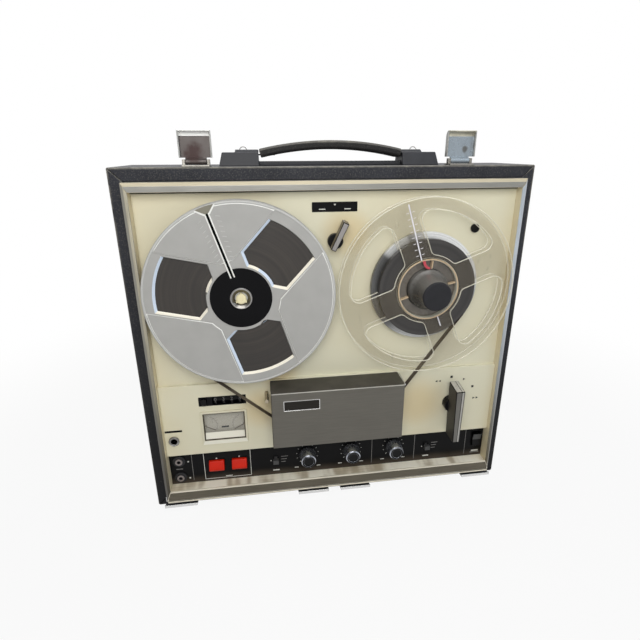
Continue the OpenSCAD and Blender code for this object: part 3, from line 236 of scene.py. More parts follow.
class Graph:
    """Node tree of a material or of the world."""

    def __init__(self, tree: bpy.types.NodeTree, coordinates: str = "Object") -> None:
        """Takes up a node tree.

        Args:
            tree: The tree.
            coordinates: Kind of coordinates that its patterns follow.
        """
        self.tree = tree
        self.shader = tree.nodes.get("Principled BSDF")
        self.place = self.node("ShaderNodeTexCoord").outputs[coordinates]

    def node(self, kind: str, settings: dict | None = None, sockets: dict | None = None) -> bpy.types.Node:
        """Adds a node.

        Args:
            kind: Type of the node.
            settings: Its settings, set first.
            sockets: Values or links of its sockets, by name or place.

        Returns:
            The new node.
        """
        made = self.tree.nodes.new(kind)
        for key, value in (settings or {}).items():
            setattr(made, key, value)
        for key, value in (sockets or {}).items():
            self.feed(made.inputs[key], value)
        return made

    def feed(self, socket: bpy.types.NodeSocket, value: object) -> None:
        """Sets or links one socket.

        Args:
            socket: Socket to feed.
            value: A number, a colour, a Value or another node's socket.
        """
        source = value.socket if isinstance(value, Value) else value
        if isinstance(source, bpy.types.NodeSocket):
            self.tree.links.new(source, socket)
        else:
            socket.default_value = source

    def scaled(self, scale: float, stretch: Sequence[float] = (1.0, 1.0, 1.0)) -> bpy.types.NodeSocket:
        """Coordinates at a scale of repeats in a metre, stretched along each axis."""
        sockets = {"Vector": self.place, "Scale": [scale * part for part in stretch]}
        return self.node("ShaderNodeMapping", sockets=sockets).outputs["Vector"]

    def noise(self, scale: float, detail: float = 2.0, stretch: Sequence[float] = (1.0, 1.0, 1.0)) -> Value:
        """Cloudy noise around 0.5, with a scale of repeats in a metre and layers of finer noise."""
        sockets = {"Vector": self.scaled(scale, stretch), "Scale": 1.0, "Detail": detail}
        return Value(self, self.node("ShaderNodeTexNoise", sockets=sockets).outputs[0])

    def cells(self, scale: float) -> Value:
        """Distance from the middles of random cells, so many in a metre."""
        sockets = {"Vector": self.scaled(scale), "Scale": 1.0}
        return Value(self, self.node("ShaderNodeTexVoronoi", sockets=sockets).outputs["Distance"])

    def axes(self) -> tuple[Value, Value, Value]:
        """Coordinates along X, Y and Z."""
        parts = self.node("ShaderNodeSeparateXYZ", sockets={0: self.place}).outputs
        return Value(self, parts[0]), Value(self, parts[1]), Value(self, parts[2])

    def radius(self, x: float, z: float) -> Value:
        """Distance in metres from an axis that points at the viewer."""
        across, _, up = self.axes()
        return ((across - x) * (across - x) + (up - z) * (up - z)).math("SQRT")

    def rings(self, distance: Value, scale: float, detail: float = 2.0) -> Value:
        """Noise that changes only with a distance.

        Args:
            distance: The distance.
            scale: Repeats in a metre.
            detail: Layers of finer noise.

        Returns:
            The noise.
        """
        where = self.node("ShaderNodeCombineXYZ", sockets={0: distance * scale}).outputs[0]
        sockets = {"Vector": where, "Scale": 1.0, "Detail": detail}
        return Value(self, self.node("ShaderNodeTexNoise", sockets=sockets).outputs[0])

    def rays(self, *kinds: str) -> list[Value]:
        """For each kind that the light path node names, 1 for its rays and 0 for others."""
        path = self.node("ShaderNodeLightPath").outputs
        return [Value(self, path[kind]) for kind in kinds]

    def near_edges(self, low: Vector, high: Vector, width: float) -> Value:
        """Closeness to the edges of a box.

        Args:
            low: Lowest corner.
            high: Highest corner.
            width: Width of the band along each edge, in metres.

        Returns:
            1 at an edge, down to 0 at the band's border.
        """
        gaps = []
        for place, a, b in zip(self.axes(), low, high):
            gaps.append((b - a) / 2 - abs(place - (a + b) / 2))
        one, two, three = gaps
        second = one.least(two).most(one.most(two).least(three))
        return 1.0 - second.rise(0.0, width)

    def mix(self, factor: Value | float, first: object, second: object) -> bpy.types.NodeSocket:
        """Mixes two colours; the factor is the share of the second."""
        made = self.node("ShaderNodeMix", {"data_type": "RGBA"}, {0: factor, 6: first, 7: second})
        return made.outputs[2]

    def bump(self, height: Value, depth: float, strength: float = 1.0) -> bpy.types.NodeSocket:
        """Turns a height from 0 to 1 into a normal, with the relief's depth in millimetres."""
        sockets = {"Strength": strength, "Distance": depth * MM, "Height": height}
        return self.node("ShaderNodeBump", sockets=sockets).outputs["Normal"]

    def surface(self, **sockets: object) -> None:
        """Feeds the shader; a socket's name has underscores for its spaces."""
        for key, value in sockets.items():
            self.feed(self.shader.inputs[key.replace("_", " ")], value)


def new_material(name: str) -> bpy.types.Material:
    """Makes a material with nodes.

    Args:
        name: Its name.

    Returns:
        The material.
    """
    material = bpy.data.materials.new(name)
    material.use_nodes = True
    return material


@dataclass(frozen=True)
class Finish:
    """A named surface; each kind paints its own nodes."""

    name: str
    made: ClassVar[dict[str, bpy.types.Material]] = {}

    def paint(self, g: Graph) -> None:
        """Adds the nodes of this finish to a graph."""
        raise NotImplementedError

    def material(self) -> bpy.types.Material:
        """Gives the material, made on first use."""
        if self.name not in self.made:
            self.made[self.name] = new_material(self.name)
            self.paint(Graph(self.made[self.name].node_tree))
        return self.made[self.name]


@dataclass(frozen=True)
class GrainedVinyl(Finish):
    """Leather-grained vinyl, rubbed pale along the edges of a CAD node's box, and where set darker towards
    the bottom as painted shade.
    """

    colour: Colour
    worn: Colour
    around: str
    rub: float = 0.8
    band: float = 3.2
    grain: float = 1.15
    seams: float = 0.0
    speckle: float = 0.3
    shade_to_bottom: float = 0.0

    def paint(self, g: Graph) -> None:
        """Adds the nodes of this finish to a graph."""
        pebbles = g.cells(1.0 / (self.grain * MM))
        fine = g.noise(3200.0, 3.0)
        broad = g.noise(22.0, 3.0)
        patches = g.noise(150.0, 4.0)
        low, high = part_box(self.around)
        edge = g.near_edges(low, high, self.band * MM)
        across, deep, up = g.axes()
        inward, below = deep - low.y, high.z - up
        high_up = up.rise(low.z + 0.6 * (high.z - low.z), high.z)
        # Painted shade: the vinyl darkens towards the bottom of the box, to about a fifth of its tone, with
        # fewer specks there.
        painted_low_shade = up.rise(high.z, low.z) * self.shade_to_bottom
        seam = abs(high.x - abs(across) - below)
        seam = (1.0 - seam.rise(0.2 * MM, 1.1 * MM)) * (1.0 - inward.rise(0.0, 2.0 * MM))
        rubbed = edge * patches.rise(0.3, 0.62) * self.rub * (0.25 + 0.75 * high_up)
        front_top = inward.rise(6.0 * MM, 0.3 * MM) * below.rise(2.0 * MM, 0.2 * MM)
        rubbed = rubbed.most(front_top * (0.35 + 0.5 * patches) * self.rub)
        rubbed = rubbed.most(seam * patches.rise(0.25, 0.6) * self.seams)
        base = g.mix(broad.rise(0.3, 0.75), self.colour, toned(self.colour, 1.55))
        base = g.mix(painted_low_shade, base, toned(self.colour, 0.22))
        scuffs = g.noise(420.0, 5.0).rise(0.66, 0.74) * 0.22
        base = g.mix(scuffs, base, self.worn)
        specks = g.noise(900.0, 1.0).rise(0.5, 0.75) * self.speckle * (1.0 - painted_low_shade)
        base = g.mix(specks, base, self.worn)
        height = pebbles * 0.8 + fine * 0.35
        g.surface(
            Base_Color=g.mix(rubbed, base, self.worn),
            Roughness=0.5 + 0.16 * fine,
            Normal=g.bump(height, 0.16, 0.75),
            Specular_IOR_Level=0.2,
        )


@dataclass(frozen=True)
class SatinPaint(Finish):
    """Sprayed paint with slow yellowing and a faint orange peel."""

    colour: Colour
    aged: Colour
    roughness: float = 0.4
    ageing: float = 0.65
    stains: tuple[tuple[float, float, float], ...] = ()

    def paint(self, g: Graph) -> None:
        """Adds the nodes of this finish to a graph."""
        cloud = g.noise(9.0, 3.0)
        peel = g.noise(1500.0, 1.0)
        specks = g.noise(700.0, 2.0).rise(0.73, 0.78) * 0.25
        ageing = cloud.rise(0.35, 0.72) * self.ageing
        for x, z, reach in self.stains:
            ageing = ageing.most(g.radius(*on_front(x, z)).rise(reach * MM, 0.2 * reach * MM))
        base = g.mix(ageing, self.colour, self.aged)
        g.surface(
            Base_Color=g.mix(specks, base, toned(self.aged, 0.6)),
            Roughness=self.roughness + 0.1 * (cloud - 0.5),
            Normal=g.bump(peel, 0.02, 0.5),
        )


@dataclass(frozen=True)
class BrushedMetal(Finish):
    """Metal with a straight grain; a foot colour, where given, darkens it towards the case bottom as painted
    reflection.
    """

    colour: Colour
    grain: Axis
    roughness: float = 0.3
    contrast: float = 0.18
    metallic: float = 1.0
    foot: Colour | None = None

    def paint(self, g: Graph) -> None:
        """Adds the nodes of this finish to a graph."""
        streaks = g.noise(GRAIN_LINES, 3.0, self.grain.value)
        cloud = g.noise(30.0, 2.0)
        dark = toned(self.colour, 1.0 - self.contrast * 2.4)
        shade = (streaks - 0.5) * 0.9 + 0.5 + 0.35 * (cloud - 0.5)
        base = g.mix(shade.rise(0.75, 0.3), self.colour, dark)
        # Painted reflection: from three quarters of the case height down, the metal turns towards the darker
        # foot colour.
        if self.foot:
            clear = CASE_LOW.z + 0.75 * (CASE_HIGH.z - CASE_LOW.z)
            base = g.mix(g.axes()[2].rise(clear, CASE_LOW.z), base, self.foot)
        g.surface(
            Base_Color=base,
            Metallic=self.metallic,
            Roughness=self.roughness + 0.22 * (streaks - 0.5) + 0.08 * cloud,
            Normal=g.bump(streaks, 0.012, 0.5),
        )


@dataclass(frozen=True)
class ShelfMetal(Finish):
    """Near-white satin aluminium, a painted highlight, with darker patches that are painted blurred
    reflections.
    """

    colour: Colour
    reflection_tone: Colour

    def paint(self, g: Graph) -> None:
        """Adds the nodes of this finish to a graph."""
        patches = g.noise(60.0, 2.0, (1.0, 0.2, 0.2))
        fine = g.noise(1800.0, 3.0, Axis.ACROSS.value)
        # Painted reflections: soft long patches blend the surface towards the darker tone.
        tone = (patches + 0.2 * (fine - 0.5)).rise(0.44, 0.68)
        g.surface(
            Base_Color=g.mix(tone, self.colour, self.reflection_tone),
            Metallic=0.1,
            Roughness=0.4 + 0.15 * fine,
            Normal=g.bump(fine, 0.01, 0.5),
        )


@dataclass(frozen=True)
class TurnedMetal(Finish):
    """Metal turned on a lathe, with rings about an axis that points at the viewer and bright and dark sectors
    round it, painted reflections.
    """

    colour: Colour
    centre: Pair
    roughness: float = 0.26

    def paint(self, g: Graph) -> None:
        """Adds the nodes of this finish to a graph."""
        away = g.radius(*self.centre)
        ring = g.rings(away, GRAIN_LINES, 3.0)
        across, _, up = g.axes()
        # Painted reflections: three bright lobes by angle round the axis, dark elsewhere.
        angle = (up - self.centre[1]).math("ARCTAN2", across - self.centre[0])
        wide = (angle - 0.85).math("COSINE").rise(0.3, 0.8)
        narrow = (angle - 2.2).math("COSINE").rise(0.95, 0.985) * 0.75
        foot = (angle + 1.5).math("COSINE").rise(0.6, 0.95) * 0.6
        sweep = wide.most(narrow).most(foot)
        base = g.mix(ring.rise(0.35, 0.65), toned(self.colour, 0.72), self.colour)
        g.surface(
            Base_Color=g.mix(sweep, toned(self.colour, 0.12), base),
            Metallic=0.35,
            Roughness=self.roughness + 0.2 * (ring - 0.4),
            Normal=g.bump(ring, 0.01, 0.6),
        )


@dataclass(frozen=True)
class PlatedSteel(Finish):
    """Bright plating with smudges and darker patches: brown bloom where it has aged, and on the knobs and the
    right latch painted reflections.
    """

    colour: Colour
    bloom_and_reflection: Colour
    aged: float = 0.1
    roughness: float = 0.14
    metallic: float = 1.0
    spot: tuple[float, float, float] | None = None

    def paint(self, g: Graph) -> None:
        """Adds the nodes of this finish to a graph."""
        smudge = g.noise(95.0, 3.0)
        pits = g.noise(700.0, 2.0)
        stain_and_reflection = (smudge + 0.2 * (pits - 0.5)).rise(0.6 - 0.25 * self.aged, 0.9 - 0.2 * self.aged)
        stain_and_reflection = stain_and_reflection * self.aged
        if self.spot:
            x, z, reach = self.spot
            near = g.radius(*on_front(x, z)) * (1.0 / (reach * MM)) + 1.6 * (g.noise(170.0, 4.0) - 0.5)
            stain_and_reflection = stain_and_reflection.most(near.rise(1.25, 0.35))
        g.surface(
            Base_Color=g.mix(stain_and_reflection, self.colour, self.bloom_and_reflection),
            Metallic=self.metallic - 0.55 * self.metallic * stain_and_reflection,
            Roughness=self.roughness + 0.16 * smudge + 0.3 * stain_and_reflection,
            Normal=g.bump(smudge, 0.05, 0.3),
        )


@dataclass(frozen=True)
class Moulding(Finish):
    """Moulded plastic or rubber with a fine texture."""

    colour: Colour
    roughness: float = 0.42
    texture: float = 1900.0
    depth: float = 0.03
    spread: float = 0.35
    coat: float = 0.0
    shine: float = 0.3
    dust_and_highlight: tuple[float, float, Colour] | None = None

    def paint(self, g: Graph) -> None:
        """Adds the nodes of this finish to a graph."""
        fine = g.noise(self.texture, 2.0)
        cloud = g.noise(60.0, 3.0)
        base = g.mix(cloud.rise(0.3, 0.75), self.colour, toned(self.colour, 1.0 + self.spread))
        # This blend pales the surface between two heights: dust at the foot of the control strip, and a
        # painted highlight on the upper side of the reel cap's cone.
        if self.dust_and_highlight:
            foot, top, pale = self.dust_and_highlight
            level = g.axes()[2] + 0.004 * (g.noise(45.0, 3.0) - 0.5)
            base = g.mix(level.rise(top, foot) * (0.75 + 0.5 * (fine - 0.5)), base, pale)
        g.surface(
            Base_Color=g.mix(fine.rise(0.66, 0.8) * 0.25, base, toned(self.colour, 0.7, 0.025)),
            Roughness=self.roughness + 0.18 * (cloud - 0.5) + 0.08 * (fine - 0.5),
            Normal=g.bump(fine, self.depth, 0.6),
            Coat_Weight=self.coat,
            Coat_Roughness=0.08,
            Specular_IOR_Level=self.shine,
        )


@dataclass(frozen=True)
class ClearPlastic(Finish):
    """Clear plastic that lets most of what lies behind it show, with hairline scratches."""

    colour: Colour
    alpha: float
    roughness: float = 0.1
    scratches: float = 0.12

    def paint(self, g: Graph) -> None:
        """Adds the nodes of this finish to a graph."""
        hair = g.noise(260.0, 5.0, (1.0, 0.1, 0.25)).rise(0.68, 0.72)
        haze = g.noise(35.0, 3.0)
        g.surface(
            Base_Color=self.colour,
            Alpha=self.alpha * (0.7 + 0.6 * haze) + self.scratches * hair,
            Roughness=self.roughness + 0.12 * haze,
            Normal=g.bump(haze, 0.02, 0.3),
            Specular_IOR_Level=0.6,
        )


@dataclass(frozen=True)
class WoundTape(Finish):
    """Side of a tape pack: hundreds of turns with uneven bands."""

    colour: Colour
    pale: Colour
    centre: Pair

    def paint(self, g: Graph) -> None:
        """Adds the nodes of this finish to a graph."""
        away = g.radius(*self.centre)
        turns = g.rings(away, 4200.0, 3.0)
        bands = g.rings(away, 240.0, 4.0)
        smears = g.noise(26.0, 2.0)
        tone = 0.5 * turns + 0.75 * bands - 0.2 + 0.3 * (smears - 0.5)
        g.surface(
            Base_Color=g.mix(tone.rise(0.25, 0.75), self.colour, self.pale),
            Roughness=0.3 + 0.25 * bands,
            Normal=g.bump(turns + bands, 0.03, 0.6),
        )


@dataclass(frozen=True)
class Laminations(Finish):
    """Stacked sheet iron with varnish."""

    colour: Colour
    varnish: Colour
    pitch: float = 0.8

    def paint(self, g: Graph) -> None:
        """Adds the nodes of this finish to a graph."""
        _, deep, _ = g.axes()
        stripe = (deep * (2 * math.pi / (self.pitch * MM))).math("SINE") * 0.5 + 0.5
        rust = g.noise(140.0, 4.0)
        base = g.mix(stripe, toned(self.colour, 0.5), self.colour)
        g.surface(
            Base_Color=g.mix(rust.rise(0.5, 0.8), base, self.varnish),
            Roughness=0.45 + 0.2 * rust,
            Metallic=0.4,
            Normal=g.bump(stripe, 0.06, 0.6),
        )


@dataclass(frozen=True)
class CircuitBoard(Finish):
    """Paper board with faint copper tracks."""

    colour: Colour
    track: Colour

    def paint(self, g: Graph) -> None:
        """Adds the nodes of this finish to a graph."""
        lanes = g.noise(160.0, 1.0, (0.15, 1.0, 1.0))
        fibre = g.noise(900.0, 3.0)
        runs = lanes.rise(0.49, 0.51) - lanes.rise(0.55, 0.57)
        g.surface(
            Base_Color=g.mix(runs * 0.6 + 0.2 * fibre, self.colour, self.track),
            Roughness=0.5 + 0.15 * fibre,
            Normal=g.bump(runs, 0.04, 0.5),
        )


@dataclass(frozen=True)
class Ink(Finish):
    """Screen print, slightly uneven."""

    colour: Colour
    wear: float = 0.25

    def paint(self, g: Graph) -> None:
        """Adds the nodes of this finish to a graph."""
        blot = g.noise(1400.0, 3.0)
        faded = toned(self.colour, 0.62, 0.03)
        g.surface(
            Base_Color=g.mix(blot.rise(0.42, 0.75) * self.wear, self.colour, faded),
            Roughness=0.5 + 0.2 * blot,
        )


# Finishes of this recorder

BROWN_BLOOM = tint(96, 64, 56)
TABLE_SILVER = tint(238, 239, 238)
# Colour of the painted highlight on the upper side of the reel cap's cone.
CONE_HIGHLIGHT = tint(118, 116, 112)
CASE_VINYL = GrainedVinyl(
    "case vinyl", tint(38, 39, 44), tint(146, 142, 132), around="case_boards", rub=0.9, band=2.2, seams=0.8,
    speckle=0.16, shade_to_bottom=0.95,
)
# Painted sheen: a lighter copy of the vinyl for the case's top face.
CASE_TOP_SHEEN = GrainedVinyl(
    "painted sheen top vinyl", tint(84, 84, 87), tint(150, 147, 138), around="case_boards", rub=0.9, band=2.2,
    seams=0.8, speckle=0.2,
)
STRAP_VINYL = GrainedVinyl(
    "strap vinyl", tint(26, 25, 25), tint(110, 106, 98), around="handle_strap", rub=0.9, band=3.4, grain=0.9,
    speckle=0.12,
)
# Painted sheen: a lighter copy of the strap vinyl for its upper faces, with the usual rubbed edges.
STRAP_TOP_SHEEN = GrainedVinyl(
    "painted sheen strap top", tint(82, 80, 77), tint(132, 128, 118), around="handle_strap", rub=0.9, band=3.4,
    grain=0.9,
)
BLOCK_MOULDING = Moulding("block moulding", tint(40, 41, 45), roughness=0.5, texture=1100.0, depth=0.08)
BLACK_MOULDING = Moulding("black moulding", tint(28, 28, 30), roughness=0.48, texture=1500.0, depth=0.05)
STRIP_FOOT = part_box("control_strip")[0]
BLACK_ENAMEL = Moulding(
    "black enamel", tint(8, 8, 9), roughness=0.34, texture=2400.0, depth=0.012, spread=0.4, shine=0.1,
    dust_and_highlight=(STRIP_FOOT.z, STRIP_FOOT.z + 0.011, tint(72, 64, 55)),
)
# Black for painted shade: the strip under the frame's top bar, the screws' cross slots and the reel's
# threading slot.
SHADE_BLACK = Moulding("painted shade black", tint(8, 8, 8), roughness=0.8, shine=0.05)
RUBBER = Moulding("black rubber", tint(27, 27, 28), roughness=0.72, texture=1300.0, depth=0.06)
CAP_RUBBER = Moulding("cap rubber", tint(33, 33, 36), roughness=0.6, texture=1600.0, shine=0.2)
CONE_PLASTIC = Moulding(
    "cone with painted highlight", tint(54, 53, 51), roughness=0.3, texture=900.0, depth=0.012, spread=0.6, coat=0.5,
)
CREAM = SatinPaint(
    "cream deck paint", tint(216, 212, 188), tint(211, 196, 158), ageing=0.35,
    stains=((92.0, 108.0, 44.0), (-78.0, 118.0, 34.0), (-60.0, 160.0, 30.0), (12.0, 300.0, 34.0)),
)
LATCH_LEFT_STEEL = PlatedSteel(
    "stained plating", tint(80, 75, 73), tint(62, 44, 42), aged=0.2, roughness=0.24, metallic=0.6,
    spot=(-125.0, 371.0, 9.5),
)
# Painted reflections: the right latch's bluish tone and grey clouds.
LATCH_RIGHT_STEEL = PlatedSteel(
    "latch chrome with painted reflections", tint(158, 169, 178), tint(92, 93, 92), aged=0.5, roughness=0.2, metallic=0.6,
    spot=(128.0, 374.0, 4.0),
)
# Painted highlight: near-white plating for the latch lips and the headphone jack's crescent.
LATCH_LIP = PlatedSteel(
    "latch lip painted highlight", tint(250, 250, 247), tint(190, 184, 166), aged=0.05, roughness=0.2, metallic=0.2,
)
LATCH_WALL = PlatedSteel(
    "grey latch wall", tint(156, 156, 153), tint(104, 100, 92), aged=0.3, roughness=0.24, metallic=0.5,
)
LATCH_BASE = PlatedSteel(
    "latch base plating", tint(150, 147, 140), tint(70, 66, 60), aged=0.5, roughness=0.22, metallic=0.7,
)
LATCH_LIP_AGED = PlatedSteel(
    "aged latch lip", tint(196, 192, 174), tint(92, 88, 70), aged=0.7, roughness=0.25, metallic=0.4,
)
CHROME = PlatedSteel(
    "bright plating", tint(214, 214, 213), BROWN_BLOOM, aged=0.08, roughness=0.1, metallic=0.85,
)
DARK_CHROME = PlatedSteel("dark plating", tint(120, 118, 114), tint(60, 56, 52), aged=0.25)
POST_CHROME = PlatedSteel("post plating", tint(168, 158, 138), tint(70, 60, 46), aged=0.35, metallic=0.8)
DULL_STEEL = PlatedSteel(
    "dull steel", tint(158, 156, 154), BROWN_BLOOM, aged=0.3, roughness=0.3, metallic=0.8,
)
# The trim frame is one brushed aluminium with a copy per face: the bluish right bar and the olive left bar
# are painted reflections, the darker band below is painted shade, and the cream bevels, the ledge and the
# near-white shelf are painted highlights.
BAR_ACROSS = BrushedMetal(
    "frame bar across", tint(152, 151, 145), Axis.ACROSS, roughness=0.34, contrast=0.08, metallic=0.6,
)
BAR_RIGHT = BrushedMetal(
    "frame bar right", tint(190, 198, 206), Axis.UPRIGHT, roughness=0.34, contrast=0.1, metallic=0.6,
    foot=tint(84, 76, 56),
)
BAR_LEFT = BrushedMetal(
    "frame bar left", tint(186, 180, 160), Axis.UPRIGHT, roughness=0.36, contrast=0.12, metallic=0.5,
    foot=tint(62, 57, 46),
)
BAR_SHADE = BrushedMetal(
    "frame bar below", tint(104, 98, 84), Axis.ACROSS, roughness=0.4, contrast=0.16, metallic=0.6,
)
BAR_INNER = SatinPaint("frame inside", tint(222, 212, 184), tint(206, 190, 150), roughness=0.36, ageing=0.6)
SHELF = ShelfMetal("frame shelf", tint(252, 246, 228), tint(188, 174, 148))
BAR_BEVEL = BrushedMetal(
    "frame bevel", tint(226, 219, 200), Axis.ACROSS, roughness=0.4, contrast=0.08, metallic=0.35,
)
BAR_LEFT_BEVEL = BrushedMetal(
    "frame bevel left", tint(150, 147, 136), Axis.UPRIGHT, roughness=0.4, contrast=0.08, metallic=0.4,
    foot=tint(60, 55, 44),
)
BAR_LEDGE = BrushedMetal(
    "frame top bevel", tint(194, 184, 158), Axis.ACROSS, roughness=0.5, contrast=0.08, metallic=0.3,
)
PLATE_FRONT = BrushedMetal(
    "brushed cover plate", tint(104, 101, 94), Axis.ACROSS, roughness=0.42, contrast=0.08, metallic=0.6,
)
NAME_FACE = BrushedMetal("bare name face", tint(52, 50, 47), Axis.ACROSS, roughness=0.34, contrast=0.1)
COVER_SHELL = Moulding(
    "cover shell", tint(62, 59, 53), roughness=0.5, texture=1100.0, depth=0.08, spread=0.5, shine=0.2,
)
# Levers: darker sides and pale tops are copies of one finish, painted shade and painted light; the pale top
# finish is also the cover's painted highlight line.
LEVER_SIDE = Moulding("lever side", tint(52, 50, 46), roughness=0.45, depth=0.02, shine=0.2)
LEVER_FACE = BrushedMetal(
    "lever face", tint(112, 110, 105), Axis.UPRIGHT, roughness=0.4, contrast=0.1, metallic=0.5,
)
LEVER_TOP = BrushedMetal(
    "lever top", tint(206, 203, 194), Axis.DEEP, roughness=0.36, contrast=0.14, metallic=0.3,
)
LEVER_LINE = BrushedMetal(
    "lever bright line", tint(176, 174, 168), Axis.UPRIGHT, roughness=0.4, contrast=0.1, metallic=0.5,
)
SPEED_SIDE = Moulding("speed lever side", tint(112, 103, 86), roughness=0.45, depth=0.02)
SPEED_FACE = BrushedMetal(
    "speed lever face", tint(152, 148, 146), Axis.UPRIGHT, roughness=0.4, contrast=0.1, metallic=0.5,
)
REEL_GREY = Moulding("satin grey reel", tint(164, 163, 160), texture=2200.0, depth=0.015, spread=0.07)
# Painted highlight: pale grey for the grey reel's pad edges, slot lips and notch edges.
REEL_EDGE_GLINT = Moulding(
    "painted highlight reel edge", tint(230, 230, 226), roughness=0.38, texture=2200.0, depth=0.012, spread=0.05,
)
REEL_RIM = Moulding("reel rim", tint(184, 184, 181), roughness=0.4, texture=2200.0, depth=0.012, spread=0.05)
REEL_CREAM = Moulding(
    "reel wall in light", tint(240, 234, 218), roughness=0.4, texture=2200.0, depth=0.012, spread=0.03,
)
REEL_BLUE = Moulding(
    "reel wall in sky light", tint(204, 216, 232), roughness=0.4, texture=2200.0, depth=0.012, spread=0.03,
)
REEL_SHADE = Moulding(
    "reel wall in shade", tint(112, 110, 106), roughness=0.45, texture=2200.0, depth=0.012, spread=0.03,
)
REEL_NOTCH = Moulding(
    "notch painted shade", tint(124, 121, 108), roughness=0.5, texture=2200.0, depth=0.012, spread=0.05,
)
HUB_BLACK = Moulding("black hub disc", tint(7, 7, 9), roughness=0.4, texture=2000.0, depth=0.012, shine=0.1)
RED_PLASTIC = Moulding(
    "red button plastic", tint(196, 30, 5), roughness=0.34, texture=1500.0, depth=0.01, spread=0.12,
    coat=0.04, shine=0.15,
)
NUB_GREY = Moulding("grey switch nub", tint(66, 66, 66), roughness=0.45, texture=1500.0, depth=0.02)
# Painted reflections: the dark patches on the knobs' chrome.
KNOB_CHROME = PlatedSteel(
    "knob chrome with painted reflections", tint(186, 189, 196), tint(24, 23, 24), aged=0.6, roughness=0.08, metallic=0.92,
)
KNOB_BLACK = Moulding("knob black", tint(9, 9, 10), roughness=0.34, texture=1800.0, depth=0.015, shine=0.15)
IVORY = Moulding(
    "ivory spindle", tint(226, 216, 178), roughness=0.36, texture=1600.0, depth=0.01, spread=0.08,
)
TAPE_STRAND = Moulding("tape strand", tint(66, 56, 48), roughness=0.3, texture=1200.0, depth=0.008)
LEADER_PINK = Moulding("pink leader tape", tint(186, 74, 84), roughness=0.4, texture=1200.0, depth=0.01)
HUB_RING = Moulding(
    "tan hub ring", tint(190, 168, 138), roughness=0.35, texture=1500.0, depth=0.01, spread=0.2,
)
HUB_FLOOR = Moulding(
    "smoky hub floor", tint(88, 83, 76), roughness=0.26, texture=500.0, depth=0.02, spread=0.7, coat=0.4,
)
THREAD_LINE = Moulding(
    "bright thread line", tint(222, 220, 226), roughness=0.3, texture=1500.0, depth=0.01, spread=0.06,
)
METER_CASE = SatinPaint("meter cream", tint(214, 209, 186), tint(210, 198, 166), roughness=0.36, ageing=0.4)
# Painted light: a paler copy of the meter cream; painted shade: a darkened dial.
METER_LIT = SatinPaint("meter front painted light", tint(234, 231, 216), tint(226, 219, 198), roughness=0.36, ageing=0.4)
METER_SHADE = Moulding("meter edge shade", tint(64, 57, 45), roughness=0.6, texture=1500.0, depth=0.01)
METER_DIAL_SHADED = SatinPaint("dial painted shade", tint(178, 173, 160), tint(160, 154, 140), roughness=0.5, ageing=0.6)
NEEDLE = Moulding("meter needle", tint(104, 97, 86), roughness=0.45, texture=1500.0, depth=0.01)
LENS = ClearPlastic("meter lens", tint(226, 232, 234), alpha=0.04, roughness=0.06, scratches=0.01)
CLEAR_FACE = ClearPlastic("clear reel face", tint(168, 153, 122), alpha=0.06)
# Painted highlight: near-white, less clear plastic for the clear reel's edges.
CLEAR_EDGE_GLINT = ClearPlastic("painted highlight clear edge", tint(244, 240, 222), alpha=0.6, roughness=0.12, scratches=0.1)
WHITE_INK = Ink("white print", tint(206, 206, 200))
GREY_INK = Ink("grey print", tint(112, 110, 108))
BLACK_INK = Ink("black print", tint(24, 23, 22))
BRASS = PlatedSteel("brass", tint(186, 152, 92), tint(96, 72, 40), aged=0.3, roughness=0.24)
MIC_RING = PlatedSteel(
    "microphone ring", tint(134, 126, 124), tint(70, 64, 62), aged=0.4, roughness=0.3, metallic=0.7,
)
ZINC = PlatedSteel("zinc plating", tint(162, 164, 162), tint(122, 112, 88), aged=0.4, roughness=0.3)
MOTOR_ENAMEL = Moulding("grey motor enamel", tint(108, 112, 116), roughness=0.4, texture=900.0)
BELT_RUBBER = Moulding("belt rubber", tint(38, 34, 32), roughness=0.66, texture=1200.0, depth=0.04)
IRON = Laminations("core iron", tint(96, 92, 86), tint(92, 62, 38))
BOARD = CircuitBoard("amplifier board", tint(112, 78, 40), tint(140, 96, 52))
HEAD_METAL = BrushedMetal("head metal", tint(196, 196, 198), Axis.ACROSS, roughness=0.2, contrast=0.1)


# Mesh building


